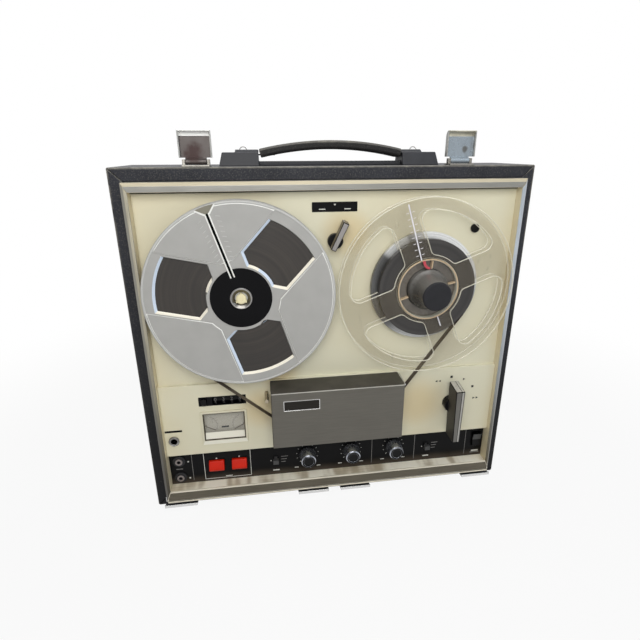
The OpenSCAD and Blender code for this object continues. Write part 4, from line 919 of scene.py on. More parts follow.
class Form:
    """A mesh in the making, in front-view millimetres: X right, Y away from the viewer, Z up."""

    def __init__(self) -> None:
        """Starts an empty mesh."""
        self.mesh = bmesh.new()

    @classmethod
    def of_node(cls, node: str, width: float = 0.3, segments: int = 2) -> "Form":
        """Copies a CAD node and softens its edges.

        Args:
            node: Name of the CAD node.
            width: Width of the softened edges; none at 0.
            segments: Steps across each edge.

        Returns:
            The copy.
        """
        form = cls()
        form.mesh.from_mesh(frame["nodes"][node].data)
        bmesh.ops.transform(form.mesh, matrix=TO_FRONT, verts=form.mesh.verts)
        bmesh.ops.remove_doubles(form.mesh, verts=form.mesh.verts, dist=WELD)
        bmesh.ops.dissolve_limit(
            form.mesh, angle_limit=math.radians(FLAT_ANGLE), verts=form.mesh.verts, edges=form.mesh.edges
        )
        return form.bevel(width, segments) if width else form

    @classmethod
    def slab(cls, x0: float, x1: float, f0: float, f1: float, z0: float, z1: float) -> "Form":
        """Makes a block between limits along X, f and Z.

        Args:
            x0: Left side.
            x1: Right side.
            f0: Rear side.
            f1: Front side.
            z0: Underside.
            z1: Top.

        Returns:
            The block.
        """
        form = cls()
        size = Matrix.Diagonal((x1 - x0, f1 - f0, z1 - z0, 1.0))
        place = Matrix.Translation(((x0 + x1) / 2, -(f0 + f1) / 2, (z0 + z1) / 2))
        bmesh.ops.create_cube(form.mesh, size=1.0, matrix=place @ size)
        return form

    @classmethod
    def mark(cls, x: float, z: float, wide: float, high: float, face: float) -> "Form":
        """Makes a printed bar about a middle in X and Z, on a level that faces the viewer."""
        return cls.slab(x - wide / 2, x + wide / 2, face, face + INK_T, z - high / 2, z + high / 2)

    @classmethod
    def extruded(cls, corners: Sequence[Sequence[float]], shift: Sequence[float]) -> "Form":
        """Extrudes a flat outline.

        Args:
            corners: Corners of the outline.
            shift: From the outline to the other end.

        Returns:
            The solid.
        """
        form = cls()
        face = form.mesh.faces.new([form.mesh.verts.new(corner) for corner in corners])
        grown = bmesh.ops.extrude_face_region(form.mesh, geom=[face], use_keep_orig=True)
        moved = [part for part in grown["geom"] if isinstance(part, bmesh.types.BMVert)]
        bmesh.ops.translate(form.mesh, verts=moved, vec=shift)
        bmesh.ops.recalc_face_normals(form.mesh, faces=form.mesh.faces)
        return form

    @classmethod
    def prism(cls, outline: Sequence[Pair], f0: float, f1: float) -> "Form":
        """Extrudes an outline in X and Z from one level along f to another."""
        return cls.extruded([(x, -f0, z) for x, z in outline], (0.0, f0 - f1, 0.0))

    @classmethod
    def turned(
        cls, profile: Sequence[Pair], x: float, z: float, start: float = 0.0, sweep: float = 360.0,
        steps: int = 72,
    ) -> "Form":
        """Turns a closed section about an axis that points at the viewer.

        Args:
            profile: Corners of the section as radius and f.
            x: Place of the axis along X.
            z: Place of the axis along Z.
            start: Angle of the section, counterclockwise from +X in the front view.
            sweep: Angle that it turns through.
            steps: Steps of the turn.

        Returns:
            The turned shape.
        """
        form = cls()
        across, up = math.cos(math.radians(start)), math.sin(math.radians(start))
        ring = [form.mesh.verts.new((x + r * across, -f, z + r * up)) for r, f in profile]
        edges = [form.mesh.edges.new((a, b)) for a, b in zip(ring, ring[1:] + ring[:1])]
        bmesh.ops.spin(
            form.mesh, geom=ring + edges, cent=(x, 0.0, z), axis=(0.0, -1.0, 0.0), dvec=(0.0, 0.0, 0.0),
            angle=math.radians(sweep), steps=steps, use_merge=sweep >= 360.0, use_duplicate=False,
        )
        bmesh.ops.remove_doubles(form.mesh, verts=form.mesh.verts, dist=WELD)
        form.close()
        return form

    @classmethod
    def rod(cls, first: Vector, last: Vector, r: float, sides: int = 20) -> "Form":
        """Makes a round bar between two points.

        Args:
            first: One end.
            last: Other end.
            r: Radius.
            sides: Sides of the bar.

        Returns:
            The bar.
        """
        form = cls()
        along = last - first
        turn = along.to_track_quat("Z", "Y").to_matrix().to_4x4()
        place = Matrix.Translation((first + last) / 2) @ turn
        bmesh.ops.create_cone(
            form.mesh, cap_ends=True, segments=sides, radius1=r, radius2=r, depth=along.length, matrix=place
        )
        return form

    @classmethod
    def figure(cls, sign: str, height: float) -> "Form":
        """Makes one printed figure about the origin, facing the viewer.

        Args:
            sign: The figure.
            height: Size of its letter body.

        Returns:
            The figure as a thin relief.
        """
        curve = bpy.data.curves.new("figure", "FONT")
        curve.body = sign
        curve.size = height
        curve.align_x = curve.align_y = "CENTER"
        curve.extrude = INK_T
        curve.resolution_u = 3
        writer = bpy.data.objects.new("figure", curve)
        bpy.context.scene.collection.objects.link(writer)
        seen = writer.evaluated_get(bpy.context.evaluated_depsgraph_get())
        mesh = bpy.data.meshes.new_from_object(seen)
        form = cls()
        form.mesh.from_mesh(mesh)
        bmesh.ops.remove_doubles(form.mesh, verts=form.mesh.verts, dist=WELD)
        bmesh.ops.rotate(form.mesh, verts=form.mesh.verts, matrix=Matrix.Rotation(math.pi / 2, 3, "X"))
        bpy.data.objects.remove(writer)
        bpy.data.curves.remove(curve)
        bpy.data.meshes.remove(mesh)
        return form

    def close(self) -> None:
        """Fills open ends and turns every face outwards."""
        bmesh.ops.holes_fill(self.mesh, edges=[edge for edge in self.mesh.edges if edge.is_boundary])
        bmesh.ops.recalc_face_normals(self.mesh, faces=self.mesh.faces)

    def bevel(
        self, width: float, segments: int = 2, test: Callable[[bmesh.types.BMEdge], bool] | None = None,
        index: int = -1,
    ) -> "Form":
        """Rounds the sharp edges.

        Args:
            width: Width of the rounding.
            segments: Steps across it.
            test: Which of the sharp edges to take; all if there is none.
            index: Finish of the new faces; that of their neighbours if -1.

        Returns:
            This form.
        """
        limit = math.radians(EDGE_ANGLE)
        edges = [edge for edge in self.mesh.edges if edge.is_manifold and edge.calc_face_angle(0.0) > limit]
        if test:
            edges = list(filter(test, edges))
        bmesh.ops.bevel(
            self.mesh, geom=edges, offset=width, offset_type="OFFSET", segments=segments, profile=0.5,
            affect="EDGES", clamp_overlap=False, material=index,
        )
        return self

    def round_sides(self, radius: float, segments: int = 4) -> "Form":
        """Rounds the edges that point at the viewer.

        Args:
            radius: Radius of the rounding.
            segments: Steps across it.

        Returns:
            This form.
        """

        def deep(edge: bmesh.types.BMEdge) -> bool:
            """Tells whether an edge points at the viewer."""
            return abs((edge.verts[0].co - edge.verts[1].co).normalized().y) > 0.99

        return self.bevel(radius, segments, deep)

    def move(self, x: float = 0.0, f: float = 0.0, z: float = 0.0) -> "Form":
        """Shifts the form along X, f and Z."""
        bmesh.ops.translate(self.mesh, verts=self.mesh.verts, vec=(x, -f, z))
        return self

    def turn(self, degrees: float) -> "Form":
        """Turns the form counterclockwise in the front view, about the origin."""
        spin = Matrix.Rotation(math.radians(-degrees), 3, "Y")
        bmesh.ops.rotate(self.mesh, verts=self.mesh.verts, cent=(0.0, 0.0, 0.0), matrix=spin)
        return self

    def about(self, box: Span, degrees: float) -> "Form":
        """Turns the form about the origin, then shifts the origin to the middle of a box."""
        return self.turn(degrees).move(box.x, 0.0, box.z)

    def paint(self, index: int, test: Callable[[Vector, Vector], bool]) -> "Form":
        """Gives some faces another finish.

        Args:
            index: Place of the finish among the piece's finishes.
            test: Which faces, from their middle and normal.

        Returns:
            This form.
        """
        self.mesh.normal_update()
        for face in self.mesh.faces:
            if test(face.calc_center_median(), face.normal):
                face.material_index = index
        return self

    def add(self, other: "Form", index: int = 0) -> "Form":
        """Takes in another form.

        Args:
            other: The other form, which is used up.
            index: Place of its finish among the piece's finishes.

        Returns:
            This form.
        """
        for face in other.mesh.faces:
            face.material_index = max(index, face.material_index)
        mesh = bpy.data.meshes.new("joined")
        other.mesh.to_mesh(mesh)
        other.mesh.free()
        self.mesh.from_mesh(mesh)
        bpy.data.meshes.remove(mesh)
        return self

    def piece(self, name: str, host: str, *finishes: Finish, stands_in: bool = False) -> None:
        """Finishes the form as a piece of the recorder.

        Args:
            name: Name of the piece.
            host: CAD node whose body it takes.
            finishes: Its finishes, in the order of the faces' numbers.
            stands_in: Whether it stands for that node.
        """
        bmesh.ops.transform(self.mesh, matrix=TO_PART, verts=self.mesh.verts)
        mesh = bpy.data.meshes.new(name)
        self.mesh.to_mesh(mesh)
        self.mesh.free()
        for finish in finishes:
            mesh.materials.append(finish.material())
        mesh.shade_smooth()
        mesh.set_sharp_from_angle(angle=math.radians(SHARP_ANGLE))
        made = bpy.data.objects.new(name, mesh)
        bpy.context.scene.collection.objects.link(made)
        normals = made.modifiers.new("even shading", "WEIGHTED_NORMAL")
        normals.keep_sharp = True
        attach(made, BODY_OF[host])
        if stands_in:
            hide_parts(host)
        LOG.info("%s: %d faces on %s", name, len(mesh.polygons), BODY_OF[host])

    def shell(self, node: str, *finishes: Finish) -> None:
        """Finishes the form as the piece that stands for a CAD node."""
        self.piece(node + "_shell", node, *finishes, stands_in=True)


def soften(node: str, finish: Finish, width: float = 0.3, segments: int = 2) -> None:
    """Replaces a CAD node by a copy with soft edges of a width, in so many steps."""
    Form.of_node(node, width, segments).shell(node, finish)


def dress(node: str, finish: Finish) -> None:
    """Gives a CAD node that stays a finish.

    Args:
        node: Name of the CAD node.
        finish: Its finish.
    """
    mesh = frame["nodes"][node].data
    mesh.materials.clear()
    mesh.materials.append(finish.material())
    LOG.info("%s: %s", node, finish.name)


# Sub-assemblies


@dataclass
class Case:
    """Vinyl boards with feet, hinge plates, carry strap, latches and rear cover."""

    board_round: float = 1.1
    board_up: float = 0.8
    foot_round: float = 1.2
    block_round: float = 0.8
    strap_round: float = 0.9
    strap_up: float = 0.45
    sheet_round: float = 0.35
    sheet_up: float = 0.6
    lip_h: float = 5.0
    wall_edge: float = 1.2
    screw_head_r: float = 3.2
    screw_round: float = 0.4
    cross_len: float = 3.6
    cross_w: float = 0.8
    blank_w: float = 74.0
    blank_h: float = 34.0
    blank_t: float = 0.6
    blank_z: float = 78.0
    rivet_in: float = 4.0
    rivet_r: Pair = (1.0, 1.6)
    rivet_h: Pair = (0.7, 0.9)
    wire_r: float = 0.45
    wire_loop_r: float = 3.2
    wire_in: float = 6.0
    wire_f: float = -25.0
    wire_sink: float = 0.6
    wire_lean: float = 70.0

    def build(self) -> None:
        """Builds every piece of the case."""
        top = span("case_boards").z1
        boards = Form.of_node("case_boards", self.board_round, 3)
        # Faces that look up on the top take the lighter vinyl, a painted sheen.
        boards.paint(1, lambda c, n: n.z > self.board_up and c.z > top - 1.0)
        boards.shell("case_boards", CASE_VINYL, CASE_TOP_SHEEN)
        # Faces that look up take black: black oxide and the painted shadow in the slot under the lip.
        plates = Form.of_node("hinge_plates", self.sheet_round)
        plates.paint(1, lambda c, n: n.z > self.sheet_up)
        plates.shell("hinge_plates", CHROME, BLACK_MOULDING)
        soften("bottom_feet", RUBBER, width=self.foot_round, segments=3)
        soften("rear_feet", RUBBER, width=self.foot_round, segments=3)
        soften("handle_blocks", BLOCK_MOULDING, width=self.block_round, segments=3)
        strap = Form.of_node("handle_strap", self.strap_round, 3)
        # Faces that look up take the lighter strap vinyl, a painted sheen.
        strap.paint(1, lambda c, n: n.z > self.strap_up)
        strap.shell("handle_strap", STRAP_VINYL, STRAP_TOP_SHEEN)
        soften("handle_pins", CHROME)
        self.latches(top)
        self.rear()
        self.wires()

    def latches(self, top: float) -> None:
        """Builds the latches and their bases.

        Args:
            top: Level of the case's top face.
        """
        bases = Form.of_node("latch_bases", self.sheet_round)
        bases.paint(1, lambda c, n: n.z > self.sheet_up and c.z < top + 2.0)
        bases.shell("latch_bases", LATCH_BASE, DARK_CHROME)
        for node, plate, lip in (
            ("latch_left", LATCH_LEFT_STEEL, LATCH_LIP), ("latch_right", LATCH_RIGHT_STEEL, LATCH_LIP_AGED),
        ):
            box = span(node)
            tray = Form.of_node(node, self.sheet_round)
            # The lip takes a paler copy of the plating, a painted highlight (aged too on the right latch),
            # and the faces at the side edges a grey copy, painted light.
            tray.paint(1, lambda c, n: c.z > box.z1 - self.lip_h)
            tray.paint(2, lambda c, n: min(c.x - box.x0, box.x1 - c.x) < self.wall_edge)
            tray.shell(node, plate, lip, LATCH_WALL)

    def rear(self) -> None:
        """Builds the rear cover, its screws, sockets, inlet and blank plate."""
        soften("rear_cover", BLACK_MOULDING, width=self.foot_round, segments=3)
        soften("line_jacks", BRASS)
        back = span("rear_cover").f0
        face = back - self.blank_t
        half_w, half_h = self.blank_w / 2, self.blank_h / 2
        low, high = self.blank_z - half_h, self.blank_z + half_h
        plate = Form.slab(-half_w, half_w, face, back, low, high).bevel(0.2, 1)
        (crown_r, head_r), (shoulder, crown) = self.rivet_r, self.rivet_h
        head = [(AXIS_GAP, face), (head_r, face), (crown_r, face - shoulder), (AXIS_GAP, face - crown)]
        for side in SIDES:
            plate.add(Form.turned(head, side * (half_w - self.rivet_in), self.blank_z, steps=20), 1)
        plate.piece("rear_blank_plate", "rear_cover", BAR_ACROSS, DULL_STEEL)
        soften("mains_inlet", RUBBER)
        # The cross slots are flat black marks, painted shade of the recesses.
        screws = Form.of_node("rear_screws", self.screw_round)
        box = span("rear_screws")
        for side in SIDES:
            x = side * (box.x1 - self.screw_head_r)
            for z in (box.z0 + self.screw_head_r, box.z, box.z1 - self.screw_head_r):
                for wide, high in ((self.cross_len, self.cross_w), (self.cross_w, self.cross_len)):
                    screws.add(Form.mark(x, z, wide, high, box.f0 - INK_T), 1)
        screws.shell("rear_screws", DULL_STEEL, SHADE_BLACK)

    def wires(self) -> None:
        """Builds the wire loops that stand at the strap's ends."""
        loops = Form()
        for side in SIDES:
            loop = Form()
            section = Matrix.Translation((self.wire_loop_r, 0.0, 0.0)) @ Matrix.Rotation(math.pi / 2, 4, "X")
            ring = bmesh.ops.create_circle(loop.mesh, segments=8, radius=self.wire_r, matrix=section)["verts"]
            edges = list({edge for vert in ring for edge in vert.link_edges})
            bmesh.ops.spin(
                loop.mesh, geom=ring + edges, cent=(0.0, 0.0, 0.0), axis=(0.0, 0.0, 1.0),
                dvec=(0.0, 0.0, 0.0), angle=math.pi, steps=14, use_merge=False, use_duplicate=False,
            )
            loop.close()
            lean = Matrix.Rotation(math.radians(self.wire_lean), 3, "X")
            bmesh.ops.rotate(loop.mesh, verts=loop.mesh.verts, matrix=lean)
            x = side * (span("handle_pins").x1 - self.wire_in)
            loops.add(loop.move(x, self.wire_f, span("handle_blocks").z1 - self.wire_sink))
        loops.piece("strap_wires", "handle_blocks", DULL_STEEL)


class Bar(IntEnum):
    """Finishes of the trim frame, by their place in its list."""

    ACROSS = 0
    RIGHT = 1
    INNER = 2
    BEVEL = 3
    SHADE = 4
    LEFT = 5
    SHELF = 6
    LEDGE = 7
    LEFT_BEVEL = 8


@dataclass
class Front:
    """Trim frame, deck and control strip with their print."""

    shelf_edge: float = 1.5
    bar_round: float = 0.3
    bevel_deep: float = 4.0
    shadow_h: float = 1.5
    shadow_f: float = 4.4
    foot_line: float = 1.9
    upper_f: float = 3.0
    label_half_w: float = 21.5
    label_z: Pair = (319.4, 328.5)
    label_t: float = 0.5
    label_bar_x: float = 12.0
    label_bar: Pair = (6.0, 0.8)
    mark_r: float = 30.8
    mark_size: float = 2.7
    mark_pitch: float = 1.9
    line_w: float = 0.55
    dividers: tuple[float, ...] = (-156.7, 44.7, 95.7, 158.5)
    record_frame: Pair = (-144.0, -93.7)
    record_word: Pair = (-118.25, 7.5)
    tick_r: float = 11.6
    ticks: int = 11
    tick_turn: float = 28.0
    knob_word_x: float = 12.5

    def build(self) -> None:
        """Builds every piece of the front."""
        self.trim()
        soften("deck_panel", CREAM, width=0.5, segments=3)
        soften("control_strip", BLACK_ENAMEL, width=0.2)
        self.label()
        self.lever_marks()
        self.strip_print()

    def trim(self) -> None:
        """Builds the frame, each of its faces with the finish that it shows; these are tinted, lighter and
        darker copies of one metal, painted reflection, highlight and shade.
        """
        deck, box = span("deck_panel"), span("trim_frame")
        low = span("control_strip").z0

        def beside(c: Vector, side: int) -> bool:
            """Tells whether a point lies on the left or the right bar."""
            return side * c.x > deck.x1 - 0.2 and low < c.z < deck.z1

        def sloped(n: Vector) -> bool:
            """Tells whether a face leans away from the viewer."""
            return -FACING < n.y < -0.2

        def shelf_edge(edge: bmesh.types.BMEdge) -> bool:
            """Tells whether an edge is the front edge of the shelf."""
            return all(abs(v.co.z - low) < 0.1 and abs(v.co.y + box.f1) < 0.1 for v in edge.verts)

        form = Form.of_node("trim_frame", 0.0)
        # The shelf's front edge gets a wide pale bevel, a painted highlight line.
        form.bevel(self.shelf_edge, 2, shelf_edge, Bar.BEVEL)
        form.bevel(self.bar_round, 2, lambda e: all(f.material_index != Bar.BEVEL for f in e.link_faces))
        front = box.f1 - self.bevel_deep
        inside = deck.x1 + 1.0
        form.paint(Bar.RIGHT, lambda c, n: n.y < -0.9 and beside(c, 1))
        form.paint(Bar.LEFT, lambda c, n: n.y < -0.9 and beside(c, -1))
        form.paint(Bar.BEVEL, lambda c, n: sloped(n) and -c.y > front)
        form.paint(Bar.RIGHT, lambda c, n: sloped(n) and beside(c, 1))
        form.paint(Bar.LEDGE, lambda c, n: sloped(n) and -c.y > front and c.z > deck.z1)
        form.paint(Bar.LEFT_BEVEL, lambda c, n: sloped(n) and beside(c, -1))
        form.paint(Bar.SHADE, lambda c, n: n.y < -FACING and c.z < low)
        form.paint(
            Bar.INNER, lambda c, n: abs(n.y) < 0.3 and abs(c.x) < inside and low - 1.0 < c.z < box.z1 - 1.0
        )
        form.paint(Bar.SHELF, lambda c, n: n.z > FACING and abs(c.x) < inside and c.z < low + 1.0)
        form.shell(
            "trim_frame", BAR_ACROSS, BAR_RIGHT, BAR_INNER, BAR_BEVEL, BAR_SHADE, BAR_LEFT, SHELF, BAR_LEDGE,
            BAR_LEFT_BEVEL,
        )
        # Painted shadow: a black strip along the deck's top edge, under the frame's top bar.
        top_shadow = Form.slab(deck.x0, deck.x1, deck.f0 + 2.0, self.shadow_f, deck.z1 - self.shadow_h, deck.z1)
        top_shadow.piece("deck_top_painted_shadow", "trim_frame", SHADE_BLACK)
        foot = Form.slab(
            box.x0 + 2.0, box.x1 - 2.0, box.f1 - 0.2, box.f1 + 0.25, box.z0 + 0.3, box.z0 + self.foot_line
        )
        foot.bevel(0.12, 1).piece("trim_foot_line", "trim_frame", BAR_BEVEL)

    def label(self) -> None:
        """Builds the bare label plate above the speed lever."""
        half, (low, high) = self.label_half_w, self.label_z
        face = self.upper_f + self.label_t
        outline = [(-half, low), (half, low), (half, high), (-half, high)]
        plate = Form.prism(outline, self.upper_f, face).round_sides(0.5, 3).bevel(0.15)
        middle = (low + high) / 2
        for side in SIDES:
            plate.add(Form.mark(side * self.label_bar_x, middle - 2.0, *self.label_bar, face), 1)
        pointer = [(-1.2, middle + 2.6), (1.2, middle + 2.6), (0.0, middle + 1.0)]
        plate.add(Form.prism(pointer, face, face + INK_T), 1)
        plate.piece("label_plate", "deck_panel", HUB_BLACK, WHITE_INK)

    def lever_marks(self) -> None:
        """Prints the generic transport signs round the function lever."""
        x = span("function_lever").x
        face = span("deck_panel").f1
        half = self.mark_size / 2
        square = [(-half, -half), (half, -half), (half, half), (-half, half)]
        right = [(-half, -half), (half, 0.0), (-half, half)]
        left = [(-px, pz) for px, pz in right]
        one, two = (0.0,), (-self.mark_pitch, self.mark_pitch)
        signs = (
            (-30.0, left, two), (0.0, square, one), (29.0, right, one), (56.5, square, one),
            (86.0, right, two),
        )
        marks = Form()
        for angle, outline, places in signs:
            turn = math.radians(angle)
            for place in places:
                mark = Form.prism(outline, face, face + INK_T)
                across, up = self.mark_r * math.sin(turn), self.mark_r * math.cos(turn)
                marks.add(mark.move(x + across + place, 0.0, LEVER_AXIS_Z + up))
        marks.piece("lever_signs", "deck_panel", BLACK_INK)

    def strip_print(self) -> None:
        """Prints lines, dots and scale marks on the control strip."""
        low, high = span("control_strip").z0, span("deck_panel").z0
        half = self.line_w / 2
        ink = Form()

        def line(x0: float, x1: float, z0: float, z1: float, index: int = 0) -> None:
            """Adds one printed bar, white or with index 1 grey."""
            ink.add(Form.slab(x0, x1, 0.0, INK_T, z0, z1), index)

        for x in self.dividers:
            line(x - half, x + half, low + 3.0, high - 3.0, 1)
        frame_low = low + 2.6
        line(*self.record_frame, frame_low, frame_low + self.line_w)
        for x in self.record_frame:
            line(x - half, x + half, frame_low, high - 2.0)
        for name in ("record_button_left", "record_button_right"):
            key = span(name)
            line(key.x - 0.7, key.x + 0.7, key.z1 + 1.6, key.z1 + 3.0)
            line(key.x0 + 1.0, key.x0 + 5.0, key.z0 - 2.6, key.z0 - 1.7)
            line(key.x1 - 3.5, key.x1 - 1.5, key.z0 - 2.6, key.z0 - 1.7)
        middle, word_w = self.record_word
        line(middle - word_w / 2, middle + word_w / 2, frame_low + 1.4, frame_low + 2.4)
        for name in KNOBS:
            knob = span(name)
            for i in range(self.ticks):
                length = 1.8 if i % 5 == 0 else 1.0
                tick = Form.slab(-0.25, 0.25, 0.0, INK_T, self.tick_r, self.tick_r + length)
                ink.add(tick.about(knob, self.tick_turn * (self.ticks // 2 - i)))
            for side in SIDES:
                x = knob.x + side * self.knob_word_x
                line(x - 2.2, x + 2.2, low + 6.4, low + 7.3)
        for name in SLIDES:
            slide = span(name)
            line(slide.x - 3.6, slide.x + 3.6, low + 5.2, low + 6.6)
            line(slide.x - 6.0, slide.x - 5.0, slide.z - 0.5, slide.z + 0.5)
            for dz in (-3.0, 0.5, 4.0):
                line(slide.x + 6.0, slide.x + 12.0 + dz * 0.4, slide.z + dz, slide.z + dz + 0.8, 1)
        power = span("power_switch")
        line(power.x - 5.5, power.x + 5.5, low + 3.6, low + 5.0, 1)
        line(power.x - 4.0, power.x + 4.6, low + 5.6, low + 7.4)
        mics = span("microphone_jacks")
        for z in (mics.z0 + 3.6, mics.z1 - 9.0):
            line(mics.x + 8.6, mics.x + 10.2, z, z + 1.6)
        line(mics.x - 4.0, mics.x + 3.0, mics.z - 0.5, mics.z + 0.5, 1)
        ink.piece("strip_print", "control_strip", WHITE_INK, GREY_INK)


@dataclass
class Reels:
    """Both reels with their tape, tables, hub trim and the tape between them."""

    pad_h: float = 0.9
    pad_slope: float = 0.85
    slope: float = 2.3
    shade_slope: float = 0.9
    window_r: Pair = (30.0, 78.5)
    window_angles: tuple[float, float, float] = (47.5, 167.5, 287.5)
    window_half: float = 42.0
    window_deep: float = 2.5
    slot_angle: float = 107.5
    lip: Pair = (21.0, 81.6)
    lip_w: float = 1.2
    lip_h: float = 0.5
    lip_gap: float = 1.7
    scale_from: float = 40.0
    scale_pitch: float = 4.6
    scale_ticks: int = 9
    scale_turn: float = 24.0
    hub_r: float = 28.6
    hub_t: float = 0.7
    ring_in: float = 5.9
    ring_out: float = 10.2
    ring_h: float = 2.2
    tip_r: float = 4.7
    rim_r: float = 88.4
    rim_w: float = 1.7
    thread_angle: float = 107.0
    thread: Pair = (29.8, 86.0)
    mark_angle: float = 292.0
    mark: Pair = (30.5, 42.0)
    thread_half: float = 0.65
    thread_from: float = 36.0
    thread_pitch: float = 6.0
    thread_ticks: int = 8
    floor_r: Pair = (20.8, 28.7)
    floor_deep: float = 4.6
    rib_angles: tuple[float, float, float] = (12.0, 84.0, 200.0)
    spindle_r: float = 7.0
    spindle_h: float = 9.0

    def build(self) -> None:
        """Builds every piece of the reels."""
        self.supply_reel()
        self.supply_hub()
        self.supply_slot()
        self.take_up_reel()
        self.take_up_trim()
        self.tables()
        self.packs()
        guides = Form.of_node("tape_guides", 0.25)
        guides.paint(1, lambda c, n: c.x > 100.0)
        guides.shell("tape_guides", POST_CHROME, KNOB_BLACK)

    def window_wall(self, face: bmesh.types.BMFace, box: Span) -> bool:
        """Tells whether a face is a wall of a window in the grey reel's front flange.

        Args:
            face: The face.
            box: Box of the reel.

        Returns:
            Whether it is one.
        """
        co = face.calc_center_median()
        angle = math.degrees(math.atan2(co.z - box.z, co.x - box.x))
        near = min(abs((angle - a + 180.0) % 360.0 - 180.0) for a in self.window_angles)
        inner, outer = self.window_r
        upright = abs(face.normal.y) < 0.1 and -co.y > box.f1 - self.pad_h - self.window_deep
        return upright and inner < box.away(co) < outer and near < self.window_half

    def supply_reel(self) -> None:
        """Builds the grey reel with sloped window walls."""
        box = span("supply_reel")
        pads, front = box.f1, box.f1 - self.pad_h
        reel = Form.of_node("supply_reel", 0.0)
        reel.mesh.normal_update()
        moves: dict[bmesh.types.BMVert, list[tuple[Vector, float]]] = {}
        for face in [face for face in reel.mesh.faces if self.window_wall(face, box)]:
            n = face.normal
            face.material_index = 3 if n.x > 0.55 else 2 if n.z > 0.25 else 4
            wide = self.shade_slope if face.material_index == 4 else self.slope
            for vert in face.verts:
                if abs(-vert.co.y - front) < LEVEL:
                    moves.setdefault(vert, []).append((n.copy(), wide))
        for vert, sides in moves.items():
            (first, wide), (last, broad) = sides[0], sides[-1]
            turn = first.x * last.z - first.z * last.x
            if abs(turn) < 0.2:
                vert.co -= 0.5 * (wide + broad) * (first + last) / (1.0 + first.dot(last))
            else:
                shift = (wide * last.z - broad * first.z, 0.0, broad * first.x - wide * last.x)
                vert.co -= Vector(shift) / turn
        # The pads' edges take the pale finish, a painted highlight.
        reel.bevel(self.pad_slope, 1, lambda e: all(abs(-v.co.y - pads) < LEVEL for v in e.verts), 1)
        reel.bevel(0.3, 2, lambda e: all(-v.co.y < pads - 0.1 for v in e.verts)
                   and not any(f.material_index for f in e.link_faces))
        reel.shell("supply_reel", REEL_GREY, REEL_EDGE_GLINT, REEL_CREAM, REEL_BLUE, REEL_SHADE)

    def supply_hub(self) -> None:
        """Builds the grey reel's hub disc, chrome ring, spindle tip and rim."""
        box = span("supply_reel")
        face = box.f1 - self.pad_h
        inner, top = self.ring_out - 0.4, face + self.hub_t
        disc = Form.turned(
            [(inner, face), (self.hub_r, face), (self.hub_r, top - 0.2), (self.hub_r - 0.3, top),
             (inner, top)], box.x, box.z,
        )
        disc.piece("supply_hub_disc", "supply_reel", HUB_BLACK)
        outer, top = self.ring_out, face + self.ring_h
        ring = Form.turned(
            [(self.ring_in, face), (outer, face), (outer, top - 0.6), (outer - 0.5, top), (outer - 1.3, top),
             (self.ring_in, face + 0.2)], box.x, box.z,
        )
        # The inner slope takes the dark plating, painted shade.
        ring.paint(1, lambda c, n: box.away(c) < self.ring_out - 1.2)
        ring.piece("supply_hub_ring", "supply_table", DULL_STEEL, DARK_CHROME)
        tip, tip_r = span("supply_table").f1, self.tip_r
        spindle = Form.turned(
            [(AXIS_GAP, face), (tip_r, face), (tip_r, tip - 1.0), (tip_r - 1.2, tip + 0.2), (1.5, tip + 0.2),
             (1.1, tip - 0.7), (AXIS_GAP, tip - 0.7)], box.x, box.z, steps=40,
        )
        spindle.paint(1, lambda c, n: box.away(c) < 1.4 and -c.y > tip - 0.9)
        spindle.piece("supply_spindle_tip", "supply_table", IVORY, HUB_RING)
        outer, inner = self.rim_r, self.rim_r - self.rim_w
        rim = Form.turned(
            [(inner, face - 0.3), (outer, face - 0.3), (outer, face + 0.35), (outer - 0.5, face + 0.6),
             (outer - 1.2, face + 0.6), (inner, face + 0.3)], box.x, box.z, steps=144,
        )
        rim.piece("supply_rim", "supply_reel", REEL_RIM)

    def supply_slot(self) -> None:
        """Builds the lips, the scale, the notch and the groove of the grey reel's threading slot."""
        box = span("supply_reel")
        pad, face = box.f1, box.f1 - self.pad_h
        trim, scale = Form(), Form()
        for side in SIDES:
            middle, half = side * self.lip_gap, self.lip_w / 2
            lip = Form.slab(*self.lip, face, pad + self.lip_h, middle - half, middle + half).bevel(0.25)
            trim.add(lip.about(box, self.slot_angle))
            for i in range(self.scale_ticks):
                tick = Form.slab(-0.35, 0.35, pad, pad + 0.35, -2.0, 2.0).bevel(0.1, 1)
                tick.turn(self.scale_turn * side)
                tick.move(self.scale_from + self.scale_pitch * i, 0.0, side * (6.0 + 0.3 * i))
                scale.add(tick.about(box, self.slot_angle))
        trim.piece("supply_slot_lips", "supply_reel", REEL_EDGE_GLINT)
        scale.piece("supply_slot_scale", "supply_reel", REEL_RIM)
        # The notch is a flat piece in the tone of the shaded deck behind it, painted shade, edged with the
        # pale painted highlight.
        end = self.lip[1]
        mouth = [(end, -1.5), (87.5, -8.6), (88.0, 0.0), (87.5, 8.6), (end, 1.5)]
        notch = Form.prism(mouth, pad - 0.4, pad + 0.1)
        for side in SIDES:
            edge = [(81.2, 1.6 * side), (87.2, 8.3 * side), (86.5, 9.4 * side), (80.2, 2.7 * side)]
            notch.add(Form.prism(edge[::side], pad - 0.4, pad + 0.4).bevel(0.15), 1)
        notch.about(box, self.slot_angle).piece("supply_slot_notch", "supply_reel", REEL_NOTCH, REEL_EDGE_GLINT)
        # The threading slot is a flat black strip between the lips, painted shade.
        half = self.lip_gap - 0.5
        groove = Form.slab(*self.lip, face, face + 0.75, -half, half)
        groove.about(box, self.slot_angle).piece("supply_slot", "supply_reel", SHADE_BLACK)

    def take_up_reel(self) -> None:
        """Builds the clear reel with paler, less clear edges, a painted highlight."""
        reel = Form.of_node("take_up_reel", 0.0)
        reel.paint(1, lambda c, n: abs(n.y) < 0.7)
        reel.bevel(0.6, 2, None, 1)
        reel.shell("take_up_reel", CLEAR_FACE, CLEAR_EDGE_GLINT)

